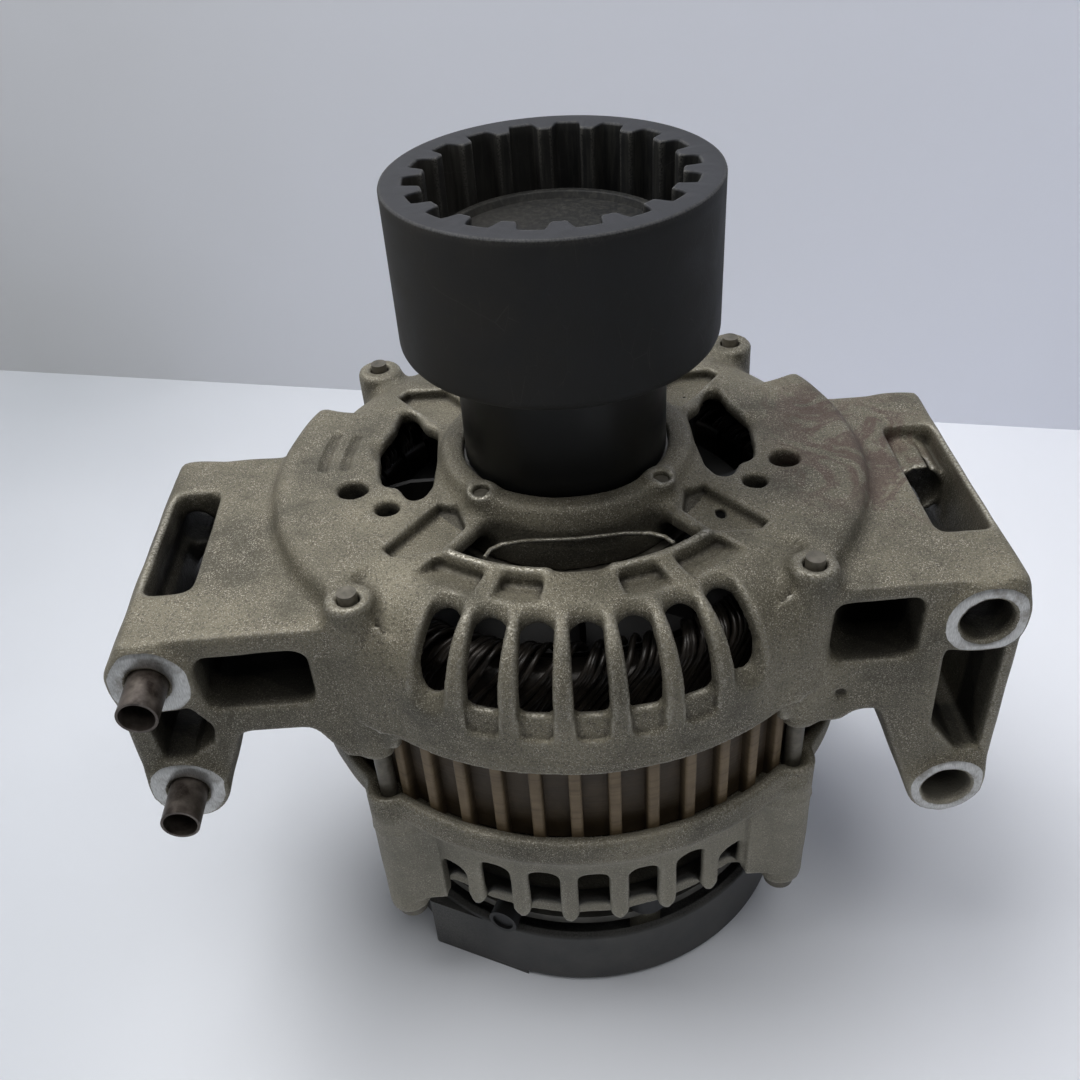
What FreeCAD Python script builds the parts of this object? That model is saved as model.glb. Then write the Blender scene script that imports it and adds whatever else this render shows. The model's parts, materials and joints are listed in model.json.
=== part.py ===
import FreeCAD, Part

import math
import os
import re

import Sketcher

# Heavy-duty alternator with claw poles, standing on its rear cover.
# Origin: on the shaft axis, in the face of the rear cover that it stands on.
# +Z runs up the shaft to the splined coupling, -Y faces the mounting bosses.

doc = FreeCAD.newDocument("Alternator")
sheet = doc.addObject("Spreadsheet::Sheet", "Sizes")

SIZES = {
    # Coupling
    "cup_radius": 42.2,
    "cup_top": 241.9,
    "cup_underside": 198.5,
    "cup_edge_round": 3.5,
    "spline_teeth": 18,
    "spline_root_radius": 37.2,
    "spline_tip_radius": 31.8,
    "tooth_root_width": 7.2,
    "tooth_tip_width": 4.8,
    "spline_floor": 221.5,
    "cap_thickness": 2.6,
    "cap_rim_height": 1.8,
    "cap_rim_width": 2.2,
    "cap_clearance": 0.5,
    "nut_recess_radius": 19,
    "nut_recess_floor": 207,
    "nut_height": 11,
    "nut_flats": 27,
    "sleeve_radius": 28.4,
    "sleeve_end_gap": 0.5,
    # Shaft
    "shaft_tip": 219.5,
    "shaft_radius": 12.5,
    "shaft_thread_radius": 9,
    "rotor_seat_radius": 14,
    "rear_seat_radius": 8.5,
    "shaft_tail_radius": 6.5,
    "shaft_tail": 9,
    "shaft_chamfer": 1,
    # Bearings
    "front_bearing_bore": 12.5,
    "front_bearing_radius": 31,
    "front_bearing_width": 17,
    "front_bearing_top": 163.5,
    "front_ball_radius": 5.6,
    "front_ball_count": 8,
    "rear_bearing_bore": 8.5,
    "rear_bearing_radius": 20,
    "rear_bearing_width": 12,
    "rear_bearing_bottom": 37,
    "rear_ball_radius": 3.3,
    "rear_ball_count": 8,
    "ring_wall_share": 0.29,
    "ball_clearance": 0.1,
    "cage_half_width": 0.9,
    # Drive-end bracket
    "housing_radius": 84,
    "bracket_rim": 118.5,
    "bracket_top": 160.5,
    "hub_top": 166.1,
    "hub_radius": 35.6,
    "hub_wall": 6,
    "hub_lip_gap": 0.5,
    "shoulder_round": 22,
    "side_round": 4,
    "side_face_inner": 60,
    "side_face_height": 30,
    "side_sector_angle": 66,
    "side_sector_turn": 7,
    "skirt_start": 32.5,
    "skirt_steps": 3,
    "skirt_step_angle": 5.5,
    "skirt_step_height": 5.8,
    "bracket_wall": 5,
    "bracket_plate": 5,
    "core_seat_depth": 3.6,
    "register_gap": 0.05,
    "front_slots": 7,
    "slot_pitch": 9.5,
    "slot_width": 5.2,
    "slot_depth": 12,
    "slot_foot": 141,
    "slot_scoop": 14,
    "slot_reach": 6,
    "slot_inner_radius": 67.5,
    "slot_mouth_width": 6.6,
    "slot_mouth_depth": 1.8,
    "window_inner_radius": 36.6,
    "window_outer_radius": 53,
    "window_angle": 76,
    "window_rib_width": 2.4,
    "window_rib_height": 1.6,
    "window_rib_angle": 30,
    "window_rib_turn": 23,
    "screw_circle": 34,
    "screw_hole_radius": 2.3,
    "bolt_circle": 81.5,
    "bolt_angle": 45,
    "bolt_hole_radius": 2.7,
    "bolt_boss_radius": 6.2,
    "bolt_ear_radius": 7,
    "boss_foot": 107,
    "far_hole_x": 60.5,
    "far_hole_y": -10.6,
    "far_hole_radius": 4.25,
    "near_hole_x": 50.2,
    "near_hole_y": -20.4,
    "near_hole_radius": 3.5,
    "hole_boss_radius": 6.5,
    "hole_boss_depth": 7,
    "spoke_pocket_depth": 3.2,
    "drain_x": 39.5,
    "drain_y": 29.5,
    "side_step_depth": 1.6,
    "recess_depth": 2.6,
    "recess_end": 64.5,
    "near_recess_turn": 14.8,
    "near_recess_angle": 11,
    "far_recess_turn": 32.5,
    "far_recess_angle": 15,
    "relief_inner_radius": 62.5,
    "relief_outer_radius": 69,
    "relief_width": 2,
    "relief_depth": 1.1,
    "relief_turn": 98,
    "relief_angle": 15,
    # Arms
    "arm_front": 61.7,
    "boss_front": 63.7,
    "boss_radius": 11,
    "arm_top": 154.4,
    "upper_boss_height": 141.7,
    "arm_root": 107,
    "arm_window_round": 3,
    "boss_back_reach": 2.3,
    "tube_front": 8,
    "tube_radius": 8.6,
    "dimple_x": 67.5,
    "dimple_height": 117.5,
    "dimple_radius": 1.6,
    "dimple_depth": 2,
    "joint_angle": 0.2,
    "left_boss_x": 110.7,
    "left_low_height": 100.5,
    "left_bore_radius": 5.2,
    "left_back": 19.5,
    "left_plate_edge": 115.5,
    "left_underside": 119.4,
    "left_window_start": 70.5,
    "left_window_end": 99,
    "left_window_low": 129,
    "left_window_high": 147,
    "left_pocket_start": 101,
    "left_pocket_end": 114,
    "left_pocket_front": 42.5,
    "left_pocket_back": 2.5,
    "right_boss_x": 101.8,
    "right_low_height": 77.7,
    "right_bore_radius": 6.87,
    "right_back": 29,
    "right_plate_edge": 111,
    "right_underside": 110.4,
    "right_window_start": 61.5,
    "right_window_end": 86,
    "right_window_low": 129,
    "right_window_high": 149,
    "right_pocket_start": 94.5,
    "right_pocket_end": 109,
    "right_pocket_front": 41,
    "right_pocket_back": 10,
    "sleeve_wall": 0.7,
    "sleeve_reach": 11,
    "pin_sleeve_length": 31,
    # Stator
    "core_radius": 80,
    "core_bottom": 85,
    "core_top": 124,
    "core_ribs": 48,
    "core_rib_width": 3.3,
    "core_rib_depth": 3.4,
    "core_slots": 36,
    "core_slot_width": 4.6,
    "core_slot_end": 72,
    "slot_mouth": 2.2,
    "slot_lip": 1.4,
    "air_gap": 0.6,
    "winding_bar_width": 4.2,
    "winding_notch": 1.6,
    "winding_notch_depth": 9,
    "winding_inner_radius": 62,
    "winding_outer_radius": 72.5,
    "winding_front_top": 141,
    "winding_rear_bottom": 67,
    "winding_round": 4,
    # Slip-ring-end bracket
    "rear_rim_top": 90.5,
    "rear_rim_foot": 82,
    "rear_ledge": 75,
    "rear_wall_radius": 77,
    "rear_wall": 3.5,
    "finger_end": 42,
    "rear_floor_top": 46,
    "rear_floor": 38.5,
    "rear_floor_radius": 70.5,
    "rear_floor_thickness": 4.5,
    "rear_slots": 5,
    "rear_slot_pitch": 11,
    "rear_slot_width": 8.8,
    "rear_slot_top": 67,
    "rear_end_slot_top": 60,
    "rear_flare_width": 15.4,
    "finger_taper": 5,
    "rear_slot_turn": -1,
    "rear_hub_wall": 5,
    "rear_hub_lip": 2,
    "inlet_inner_radius": 29,
    "inlet_outer_radius": 54,
    "inlet_angle": 34,
    "inlets": 8,
    "rear_lug_bottom": 37,
    "rear_lug_radius": 6.6,
    "rim_dip_radius": 4.4,
    "rim_dip_depth": 2.5,
    "post_circle": 60,
    "post_radius": 5,
    "posts": 3,
    "post_end": 4.5,
    "post_turn": 15,
    # Rotor
    "rotor_radius": 58.6,
    "claw_front": 134,
    "claw_rear": 75,
    "claw_disc": 12,
    "claw_disc_radius": 45.5,
    "claws": 8,
    "claw_root_width": 15,
    "claw_tip_width": 5.5,
    "claw_root_depth": 10,
    "claw_tip_depth": 4.5,
    "claw_tip_gap": 5,
    "pole_core_radius": 24,
    "bobbin_wall": 1.2,
    "coil_radius": 44,
    "fan_plate": 1.6,
    "fan_radius": 57,
    "fan_blades": 11,
    "fan_blade_height": 11,
    "fan_blade_wall": 1.6,
    "blade_inner_radius": 40,
    "slip_ring_radius": 8.6,
    "slip_ring_wall": 1.6,
    "slip_ring_width": 5.5,
    "slip_ring_low": 12,
    "slip_ring_pitch": 9,
    # Electrics under the slip-ring-end bracket
    "sink_thickness": 3,
    "sink_gap": 6.4,
    "sink_inner_radius": 28,
    "sink_outer_radius": 65,
    "sink_opening": 72,
    "diode_circle": 45,
    "diode_radius": 5.5,
    "diode_height": 6,
    "diodes": 6,
    "diode_pitch": 36,
    "brush_width": 4.6,
    "brush_height": 5,
    "brush_length": 14,
    "brush_clearance": 0.15,
    "brush_contact_gap": 0.05,
    "brush_box_wall": 2,
    "brush_box_reach": 34,
    "brush_spring_radius": 2,
    "brush_spring_wire": 0.6,
    "plug_turn": 25,
    "plug_height": 29.2,
    "plug_radius": 4.6,
    "plug_length": 6,
    # Regulator
    "regulator_width": 40,
    "regulator_low": 5.5,
    "regulator_post_x": 14,
    "regulator_post_y": 44,
    "regulator_post_radius": 4,
    "regulator_height": 18,
    "socket_width": 22,
    "socket_bottom": 3,
    "socket_reach": 78,
    "socket_depth": 12,
    # Rear cover
    "cover_radius": 69.3,
    "cover_height": 24,
    "cover_wall": 2.5,
    "cover_round": 2.5,
    "cover_bulge_start": 20,
    "cover_bulge_end": 48,
    "cover_bulge_radius": 74.5,
    "cover_tab_turn": 60,
    "cover_tab_pitch": 8,
    "cover_tab_width": 5,
    "cover_tab_reach": 76.5,
    "cover_tab_low": 2,
    "cover_tab_height": 11,
    "cover_slots": 10,
    "cover_slot_width": 4,
    "cover_slot_start": 22,
    "cover_slot_end": 46,
    # Fasteners
    "bolt_radius": 2.5,
    "bolt_tip": 162.4,
    "bolt_head_radius": 4.6,
    "bolt_head_height": 4,
    "screw_radius": 2.05,
    "screw_head_radius": 3.6,
    "screw_head_height": 2.2,
    "screw_tip": 165.2,
    "retainer_screws": 4,
    "retainer_thickness": 2.2,
    "retainer_radius": 38.5,
    "cover_screw_radius": 2.4,
    "cover_screw_head": 4.4,
    "cover_screw_head_height": 2,
    "terminal_radius": 3,
    "terminal_end_radius": 2.5,
    "terminal_start": 56,
    "terminal_head_height": 6,
    "terminal_head_length": 7,
    "terminal_reach": 82,
    "terminal_turn": 122,
    "terminal_nut_start": 70,
    "terminal_nut_height": 4.7,
    "terminal_nut_flats": 9,
}

# The through-bolts by the signs of their x and y, and the same pairs for what is mirrored
# to the four corners.
FRONT_BOLTS = (("-", "-"), ("", "-"))
BACK_BOLTS = (("-", ""), ("", ""))

for row, (name, number) in enumerate(SIZES.items(), start=1):
    sheet.set("A%d" % row, name)
    sheet.set("B%d" % row, str(number))
    sheet.setAlias("B%d" % row, name)
doc.recompute()


def bound(formula):
    """Turn a formula of size names into an expression that follows the sheet."""
    def named(word):
        return "Sizes." + word.group() if word.group() in SIZES else word.group()
    return re.sub(r"[a-z_]+", named, formula)


def value(formula):
    """The present value of a formula of size names."""
    answer = sheet.evalExpression(bound(formula))
    return float(getattr(answer, "Value", answer))


def new_body(label):
    """A body that becomes one node."""
    body = doc.addObject("PartDesign::Body", label)
    body.Label = label
    body.AllowCompound = True
    return body


def new_sketch(body, name, role, level="0", turn="0"):
    """A sketch on one of the body's planes, turned about the shaft axis, then raised along its normal."""
    plane = next(feature for feature in body.Origin.OriginFeatures if feature.Role == role)
    sketch = body.newObject("Sketcher::SketchObject", body.Label + "_" + name)
    sketch.AttachmentSupport = [(plane, "")]
    sketch.MapMode = "FlatFace"
    upright = FreeCAD.Vector(0, 0, 1) if role == "XY_Plane" else FreeCAD.Vector(0, 1, 0)
    turned = FreeCAD.Rotation(upright, value(turn))
    sketch.AttachmentOffset = FreeCAD.Placement(FreeCAD.Vector(0, 0, value(level)), turned)
    along = level
    if turn != "0":
        sketch.setExpression("AttachmentOffset.Rotation.Angle", bound(turn))
        if role == "XZ_Plane" and level != "0":
            sketch.setExpression("AttachmentOffset.Base.x", bound("(%s) * sin(%s)" % (level, turn)))
            along = "(%s) * cos(%s)" % (level, turn)
    sketch.setExpression("AttachmentOffset.Base.z", bound(along))
    return sketch


def pin_point(sketch, geometry, end, x, y):
    """Hold one point of a sketch at the place that two formulas give."""
    for kind, formula in (("DistanceX", x), ("DistanceY", y)):
        number = sketch.addConstraint(Sketcher.Constraint(kind, -1, 1, geometry, end, value(formula)))
        sketch.setExpression("Constraints[%d]" % number, bound(formula))


def outline(sketch, corners):
    """A closed outline; a corner is (x, y) or, when rounded, (x, y, radius)."""
    points = [FreeCAD.Vector(value(corner[0]), value(corner[1]), 0) for corner in corners]
    radii = [value(corner[2]) if len(corner) == 3 else 0 for corner in corners]
    count = len(points)
    starts = []
    ends = []
    for index, point in enumerate(points):
        before = (points[index - 1] - point).normalize()
        after = (points[(index + 1) % count] - point).normalize()
        half = before.getAngle(after) / 2
        reach = radii[index] / math.tan(half) if radii[index] else 0
        ends.append(point + before * reach)
        starts.append(point + after * reach)
    lines = []
    for index in range(count):
        lines.append(sketch.addGeometry(Part.LineSegment(starts[index], ends[(index + 1) % count]), False))
    for index, corner in enumerate(corners):
        coming = lines[index - 1]
        leaving = lines[index]
        if not radii[index]:
            sketch.addConstraint(Sketcher.Constraint("Coincident", coming, 2, leaving, 1))
            pin_point(sketch, leaving, 1, corner[0], corner[1])
            continue
        before = (ends[index] - points[index]).normalize()
        after = (starts[index] - points[index]).normalize()
        middle = (before + after).normalize()
        centre = points[index] + middle * (radii[index] / math.sin(before.getAngle(after) / 2))
        left_turn = before.cross(after).z < 0
        first, last = (ends[index], starts[index]) if left_turn else (starts[index], ends[index])
        angles = [math.atan2(spot.y - centre.y, spot.x - centre.x) for spot in (first, last)]
        if angles[1] < angles[0]:
            angles[1] += 2 * math.pi
        circle = Part.Circle(centre, FreeCAD.Vector(0, 0, 1), radii[index])
        arc = sketch.addGeometry(Part.ArcOfCircle(circle, angles[0], angles[1]), False)
        sketch.addConstraint(Sketcher.Constraint("Tangent", coming, 2, arc, 1 if left_turn else 2))
        sketch.addConstraint(Sketcher.Constraint("Tangent", arc, 2 if left_turn else 1, leaving, 1))
        number = sketch.addConstraint(Sketcher.Constraint("Radius", arc, radii[index]))
        sketch.setExpression("Constraints[%d]" % number, bound(corner[2]))
        tip = sketch.addGeometry(Part.Point(points[index]), True)
        sketch.addConstraint(Sketcher.Constraint("PointOnObject", tip, 1, coming))
        sketch.addConstraint(Sketcher.Constraint("PointOnObject", tip, 1, leaving))
        pin_point(sketch, tip, 1, corner[0], corner[1])


def circle(sketch, x, y, radius):
    """A circle whose centre and radius follow formulas."""
    centre = FreeCAD.Vector(value(x), value(y), 0)
    ring = sketch.addGeometry(Part.Circle(centre, FreeCAD.Vector(0, 0, 1), value(radius)), False)
    pin_point(sketch, ring, 3, x, y)
    number = sketch.addConstraint(Sketcher.Constraint("Radius", ring, value(radius)))
    sketch.setExpression("Constraints[%d]" % number, bound(radius))


def feature(body, kind, name, sketch):
    """A feature of a body that works from a sketch and becomes its tip."""
    made = body.newObject("PartDesign::" + kind, body.Label + "_" + name)
    made.Profile = sketch
    sketch.Visibility = False
    body.Tip = made
    return made


def pad(body, name, sketch, length, reverse=False, kind="Pad"):
    """Material, or with kind Pocket a cut, along the sketch's normal."""
    made = feature(body, kind, name, sketch)
    made.Reversed = reverse
    made.setExpression("Length", bound(length))
    return made


def pocket(body, name, sketch, length, reverse=False):
    return pad(body, name, sketch, length, reverse, "Pocket")


def revolve(body, name, sketch, angle="360", kind="Revolution"):
    """Material, or with kind Groove a cut, turned about the shaft axis, half of the angle to each side."""
    made = feature(body, kind, name, sketch)
    made.ReferenceAxis = (sketch, ["V_Axis"])
    made.Midplane = angle != "360"
    made.setExpression("Angle", bound(angle))
    return made


def groove(body, name, sketch, angle="360"):
    return revolve(body, name, sketch, angle, "Groove")


def around(body, name, originals, count, spread="360"):
    """Copies about the shaft axis, over the whole turn or over a part of it."""
    axis = next(entry for entry in body.Origin.OriginFeatures if entry.Role == "Z_Axis")
    made = body.newObject("PartDesign::PolarPattern", body.Label + "_" + name)
    made.Originals = originals
    made.Axis = (axis, [""])
    made.setExpression("Angle", bound(spread))
    made.setExpression("Occurrences", bound(count))
    body.Tip = made
    return made


def ring(label, inner, outer, bottom, top, round_edge=None):
    """A plain ring about the shaft axis, with rounded or sharp edges."""
    body = new_body(label)
    sketch = new_sketch(body, "section", "XZ_Plane")
    corners = [(inner, bottom), (outer, bottom), (outer, top), (inner, top)]
    outline(sketch, [corner + (round_edge,) for corner in corners] if round_edge else corners)
    revolve(body, "turned", sketch)
    return body


def turned(label, section):
    """A piece turned from one section."""
    body = new_body(label)
    sketch = new_sketch(body, "section", "XZ_Plane")
    outline(sketch, section)
    revolve(body, "turned", sketch)
    return body


def spots(sketch, circle_radius, radius, count, start, pitch):
    """Circles at even steps about the shaft axis, the angle counted from -Y towards +X."""
    for number in range(count):
        turn = "(%s + (%s) * %d)" % (start, pitch, number)
        circle(sketch, "%s * sin%s" % (circle_radius, turn), "-%s * cos%s" % (circle_radius, turn), radius)


def bolt_spots(sketch, radius, corners):
    """Circles on the axes of the through-bolts."""
    for across, along in corners:
        x = across + "bolt_circle * sin(bolt_angle)"
        y = along + "bolt_circle * cos(bolt_angle)"
        circle(sketch, x, y, radius)


def group(label, pieces):
    """Identical pieces that share one node as separate solids."""
    made = doc.addObject("Part::Compound", label)
    made.Label = label
    made.Links = pieces
    return made


def drive_end_bracket():
    """Casting that carries the front bearing and the front of the stator; an arm joins it on each side."""
    body = new_body("drive_end_bracket")
    inside = "housing_radius - bracket_wall"
    under_deck = "bracket_top - bracket_plate"
    shell = new_sketch(body, "shell", "XZ_Plane")
    outline(shell, [
        ("0", "bracket_rim"),
        ("housing_radius", "bracket_rim"),
        ("housing_radius", "bracket_top", "shoulder_round"),
        ("hub_radius + 1.2", "bracket_top"),
        ("hub_radius", "hub_top - 1.5"),
        ("hub_radius - 1.5", "hub_top"),
        ("0", "hub_top"),
    ])
    revolve(body, "shell_turned", shell)
    for side, sign, turn in (("left", "-", "side_sector_turn"), ("right", "", "-side_sector_turn")):
        shoulder = new_sketch(body, side + "_shoulder", "XZ_Plane", turn=turn)
        outline(shoulder, [
            (sign + "side_face_inner", "bracket_top - side_face_height"),
            (sign + "housing_radius", "bracket_top - side_face_height"),
            (sign + "housing_radius", "bracket_top", "side_round"),
            (sign + "side_face_inner", "bracket_top"),
        ])
        revolve(body, side + "_shoulder_turned", shoulder, "side_sector_angle")
    for step in range(1, SIZES["skirt_steps"] + 1):
        skirt = new_sketch(body, "skirt_%d" % step, "XZ_Plane")
        bottom = "(bracket_rim - skirt_step_height * %d)" % step
        for sign in ("-", ""):
            outline(skirt, [
                (sign + "(core_radius - 2)", bottom), (sign + "housing_radius", bottom),
                (sign + "housing_radius", bottom + " + skirt_step_height + 1"),
                (sign + "(core_radius - 2)", bottom + " + skirt_step_height + 1"),
            ])
        angle = "180 - 2 * (skirt_start + skirt_step_angle * %d)" % step
        revolve(body, "skirt_%d_turned" % step, skirt, angle)
    bosses = new_sketch(body, "bolt_bosses", "XY_Plane", "boss_foot")
    bolt_spots(bosses, "bolt_boss_radius", FRONT_BOLTS)
    bolt_spots(bosses, "bolt_ear_radius", BACK_BOLTS)
    pad(body, "bolt_bosses_up", bosses, "bracket_top - boss_foot")
    cavity = new_sketch(body, "cavity", "XZ_Plane")
    outline(cavity, [
        ("0", "rear_rim_top"),
        ("core_radius + register_gap", "rear_rim_top"),
        ("core_radius + register_gap", "core_top"),
        ("core_radius - core_seat_depth", "core_top"),
        (inside, "core_top + 8"),
        (inside, under_deck, "shoulder_round - bracket_wall"),
        ("front_bearing_radius + hub_wall", under_deck),
        ("front_bearing_radius + hub_wall", "front_bearing_top - front_bearing_width"),
        ("front_bearing_radius", "front_bearing_top - front_bearing_width"),
        ("front_bearing_radius", "front_bearing_top"),
        ("sleeve_radius + hub_lip_gap", "front_bearing_top"),
        ("sleeve_radius + hub_lip_gap", "hub_top + 5"),
        ("0", "hub_top + 5"),
    ])
    groove(body, "cavity_turned", cavity)
    window = new_sketch(body, "window", "XZ_Plane", turn="-90")
    outline(window, [
        ("front_bearing_radius + hub_wall - 0.4", under_deck + " - 3"),
        ("window_outer_radius", under_deck + " - 3"),
        ("window_outer_radius", "hub_top + 3"),
        ("window_inner_radius", "hub_top + 3"),
        ("window_inner_radius", "bracket_top - 2"),
    ])
    cuts = [groove(body, "window_cut", window, "window_angle")]
    for number, (middle, spread) in enumerate((("near_recess_turn", "near_recess_angle"),
                                               ("far_recess_turn", "far_recess_angle")), start=1):
        for side, sign in (("left", "-"), ("right", "+")):
            name = "%s_recess_%d" % (side, number)
            recess = new_sketch(body, name, "XZ_Plane", turn="-90 " + sign + " " + middle)
            outline(recess, [
                ("window_outer_radius + window_rib_width - 0.5", "bracket_top - recess_depth"),
                ("window_outer_radius + window_rib_width + 2", "bracket_top - recess_depth"),
                ("recess_end", "bracket_top + 0.5"),
                ("window_outer_radius + window_rib_width - 0.5", "bracket_top + 0.5"),
            ])
            cuts.append(groove(body, name + "_cast", recess, spread))
    around(body, "windows", cuts, "2")
    sides = new_sketch(body, "side_windows", "XY_Plane", "hub_top")
    for sign in ("-", ""):
        outline(sides, [
            (sign + "37.3", "17", "2"), (sign + "41.5", "20.5", "2"), (sign + "45.5", "31", "1.5"),
            (sign + "49", "29", "1"), (sign + "50.5", "20", "2"), (sign + "54.5", "10", "2"),
            (sign + "53.5", "-3", "2"), (sign + "52", "-9.5", "1.5"), (sign + "47.5", "-11", "2"),
            (sign + "42.7", "-20.8", "1.2"), (sign + "38.2", "-11.5", "2"), (sign + "37.2", "0", "3"),
        ])
    pocket(body, "side_windows_cut", sides, "hub_top - bracket_top + bracket_plate + 2")
    steps = new_sketch(body, "side_window_steps", "XY_Plane", "bracket_top + 1")
    for sign in ("-", ""):
        outline(steps, [
            (sign + "52", "13.5", "0.6"), (sign + "58", "14.5", "0.8"), (sign + "57", "5", "0.8"),
            (sign + "52", "-1", "0.6"),
        ])
    pocket(body, "side_window_steps_cut", steps, "side_step_depth + 1")
    channels = new_sketch(body, "spoke_pockets", "XY_Plane", "bracket_top + 1")
    for across, along in FRONT_BOLTS + BACK_BOLTS:
        outline(channels, [
            (across + "35", along + "19.5", "1.5"), (across + "49.5", along + "38.5", "1.5"),
            (across + "47", along + "41", "1.5"), (across + "38", along + "37.5", "2"),
            (across + "33.5", along + "32", "2"), (across + "33", along + "24", "1.5"),
        ])
    pocket(body, "spoke_pockets_cast", channels, "spoke_pocket_depth + 1")
    drain = new_sketch(body, "drain", "XY_Plane", "bracket_top")
    outline(drain, [("drain_x - 1", "-drain_y - 2", "0.9"), ("drain_x + 1", "-drain_y - 2", "0.9"),
                    ("drain_x + 1", "-drain_y + 2", "0.9"), ("drain_x - 1", "-drain_y + 2", "0.9")])
    pocket(body, "drain_cut", drain, "bracket_plate + 1")
    ribs = []
    for side, sign in (("left", "-"), ("right", "+")):
        rib = new_sketch(body, side + "_window_rib", "XZ_Plane", turn="-90 " + sign + " window_rib_turn")
        outline(rib, [
            ("window_outer_radius", "bracket_top - 2"),
            ("window_outer_radius + window_rib_width", "bracket_top - 2"),
            ("window_outer_radius + window_rib_width", "bracket_top + window_rib_height", "0.9"),
            ("window_outer_radius", "bracket_top + window_rib_height", "0.9"),
        ])
        ribs.append(revolve(body, side + "_window_rib_cast", rib, "window_rib_angle"))
    around(body, "window_ribs", ribs, "2")
    for name, inner in (("inner", "relief_inner_radius"), ("outer", "relief_outer_radius")):
        relief = new_sketch(body, name + "_relief", "XZ_Plane", turn="-90 - relief_turn")
        outline(relief, [
            (inner, "bracket_top - relief_depth"), (inner + " + relief_width", "bracket_top - relief_depth"),
            (inner + " + relief_width + 0.6", "bracket_top + 1"), (inner + " - 0.6", "bracket_top + 1"),
        ])
        groove(body, name + "_relief_cast", relief, "relief_angle")
    pads = new_sketch(body, "hole_bosses", "XY_Plane", under_deck + " - hole_boss_depth")
    for sign in ("-", ""):
        circle(pads, sign + "far_hole_x", "far_hole_y", "hole_boss_radius")
        circle(pads, sign + "near_hole_x", "near_hole_y", "hole_boss_radius")
    pad(body, "hole_bosses_cast", pads, "hole_boss_depth + 1")
    holes = new_sketch(body, "top_holes", "XY_Plane", "hub_top + 1")
    for sign in ("-", ""):
        circle(holes, sign + "far_hole_x", "far_hole_y", "far_hole_radius")
        circle(holes, sign + "near_hole_x", "near_hole_y", "near_hole_radius")
    spots(holes, "screw_circle", "screw_hole_radius", SIZES["retainer_screws"], "45", "90")
    pocket(body, "top_holes_cut", holes, "hub_top + 3 - front_bearing_top + front_bearing_width")
    bolt_holes = new_sketch(body, "bolt_holes", "XY_Plane", "bracket_top + 1")
    bolt_spots(bolt_holes, "bolt_hole_radius", FRONT_BOLTS + BACK_BOLTS)
    pocket(body, "bolt_holes_cut", bolt_holes, "bracket_top + 2 - boss_foot")
    for side, turn in (("front", "-90"), ("back", "90")):
        first_turn = turn + " - slot_pitch * (front_slots - 1) / 2"
        slot = new_sketch(body, side + "_slot", "XZ_Plane", turn=first_turn)
        outline(slot, [
            ("slot_inner_radius", "bracket_top - slot_depth"),
            (inside + " - 3", "slot_foot"),
            (inside, "slot_foot"),
            ("housing_radius + slot_reach", "slot_foot - slot_scoop"),
            ("housing_radius + slot_reach", "bracket_top + slot_reach"),
            ("slot_inner_radius", "bracket_top + slot_reach"),
        ])
        through = groove(body, side + "_slot_cut", slot, "slot_width")
        mouth = new_sketch(body, side + "_slot_mouth", "XZ_Plane", turn=first_turn)
        outline(mouth, [
            ("slot_inner_radius - slot_mouth_depth", "bracket_top - slot_mouth_depth"),
            ("housing_radius - slot_mouth_depth", "bracket_top - slot_mouth_depth",
             "shoulder_round - slot_mouth_depth"),
            ("housing_radius - slot_mouth_depth", "slot_foot - 2"),
            ("housing_radius + slot_reach", "slot_foot + 1 - slot_scoop"),
            ("housing_radius + slot_reach", "bracket_top + slot_reach"),
            ("slot_inner_radius - slot_mouth_depth", "bracket_top + slot_reach"),
        ])
        shallow = groove(body, side + "_slot_mouth_cut", mouth, "slot_mouth_width")
        around(body, side + "_slots", [through, shallow], "front_slots", "slot_pitch * (front_slots - 1)")


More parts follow.
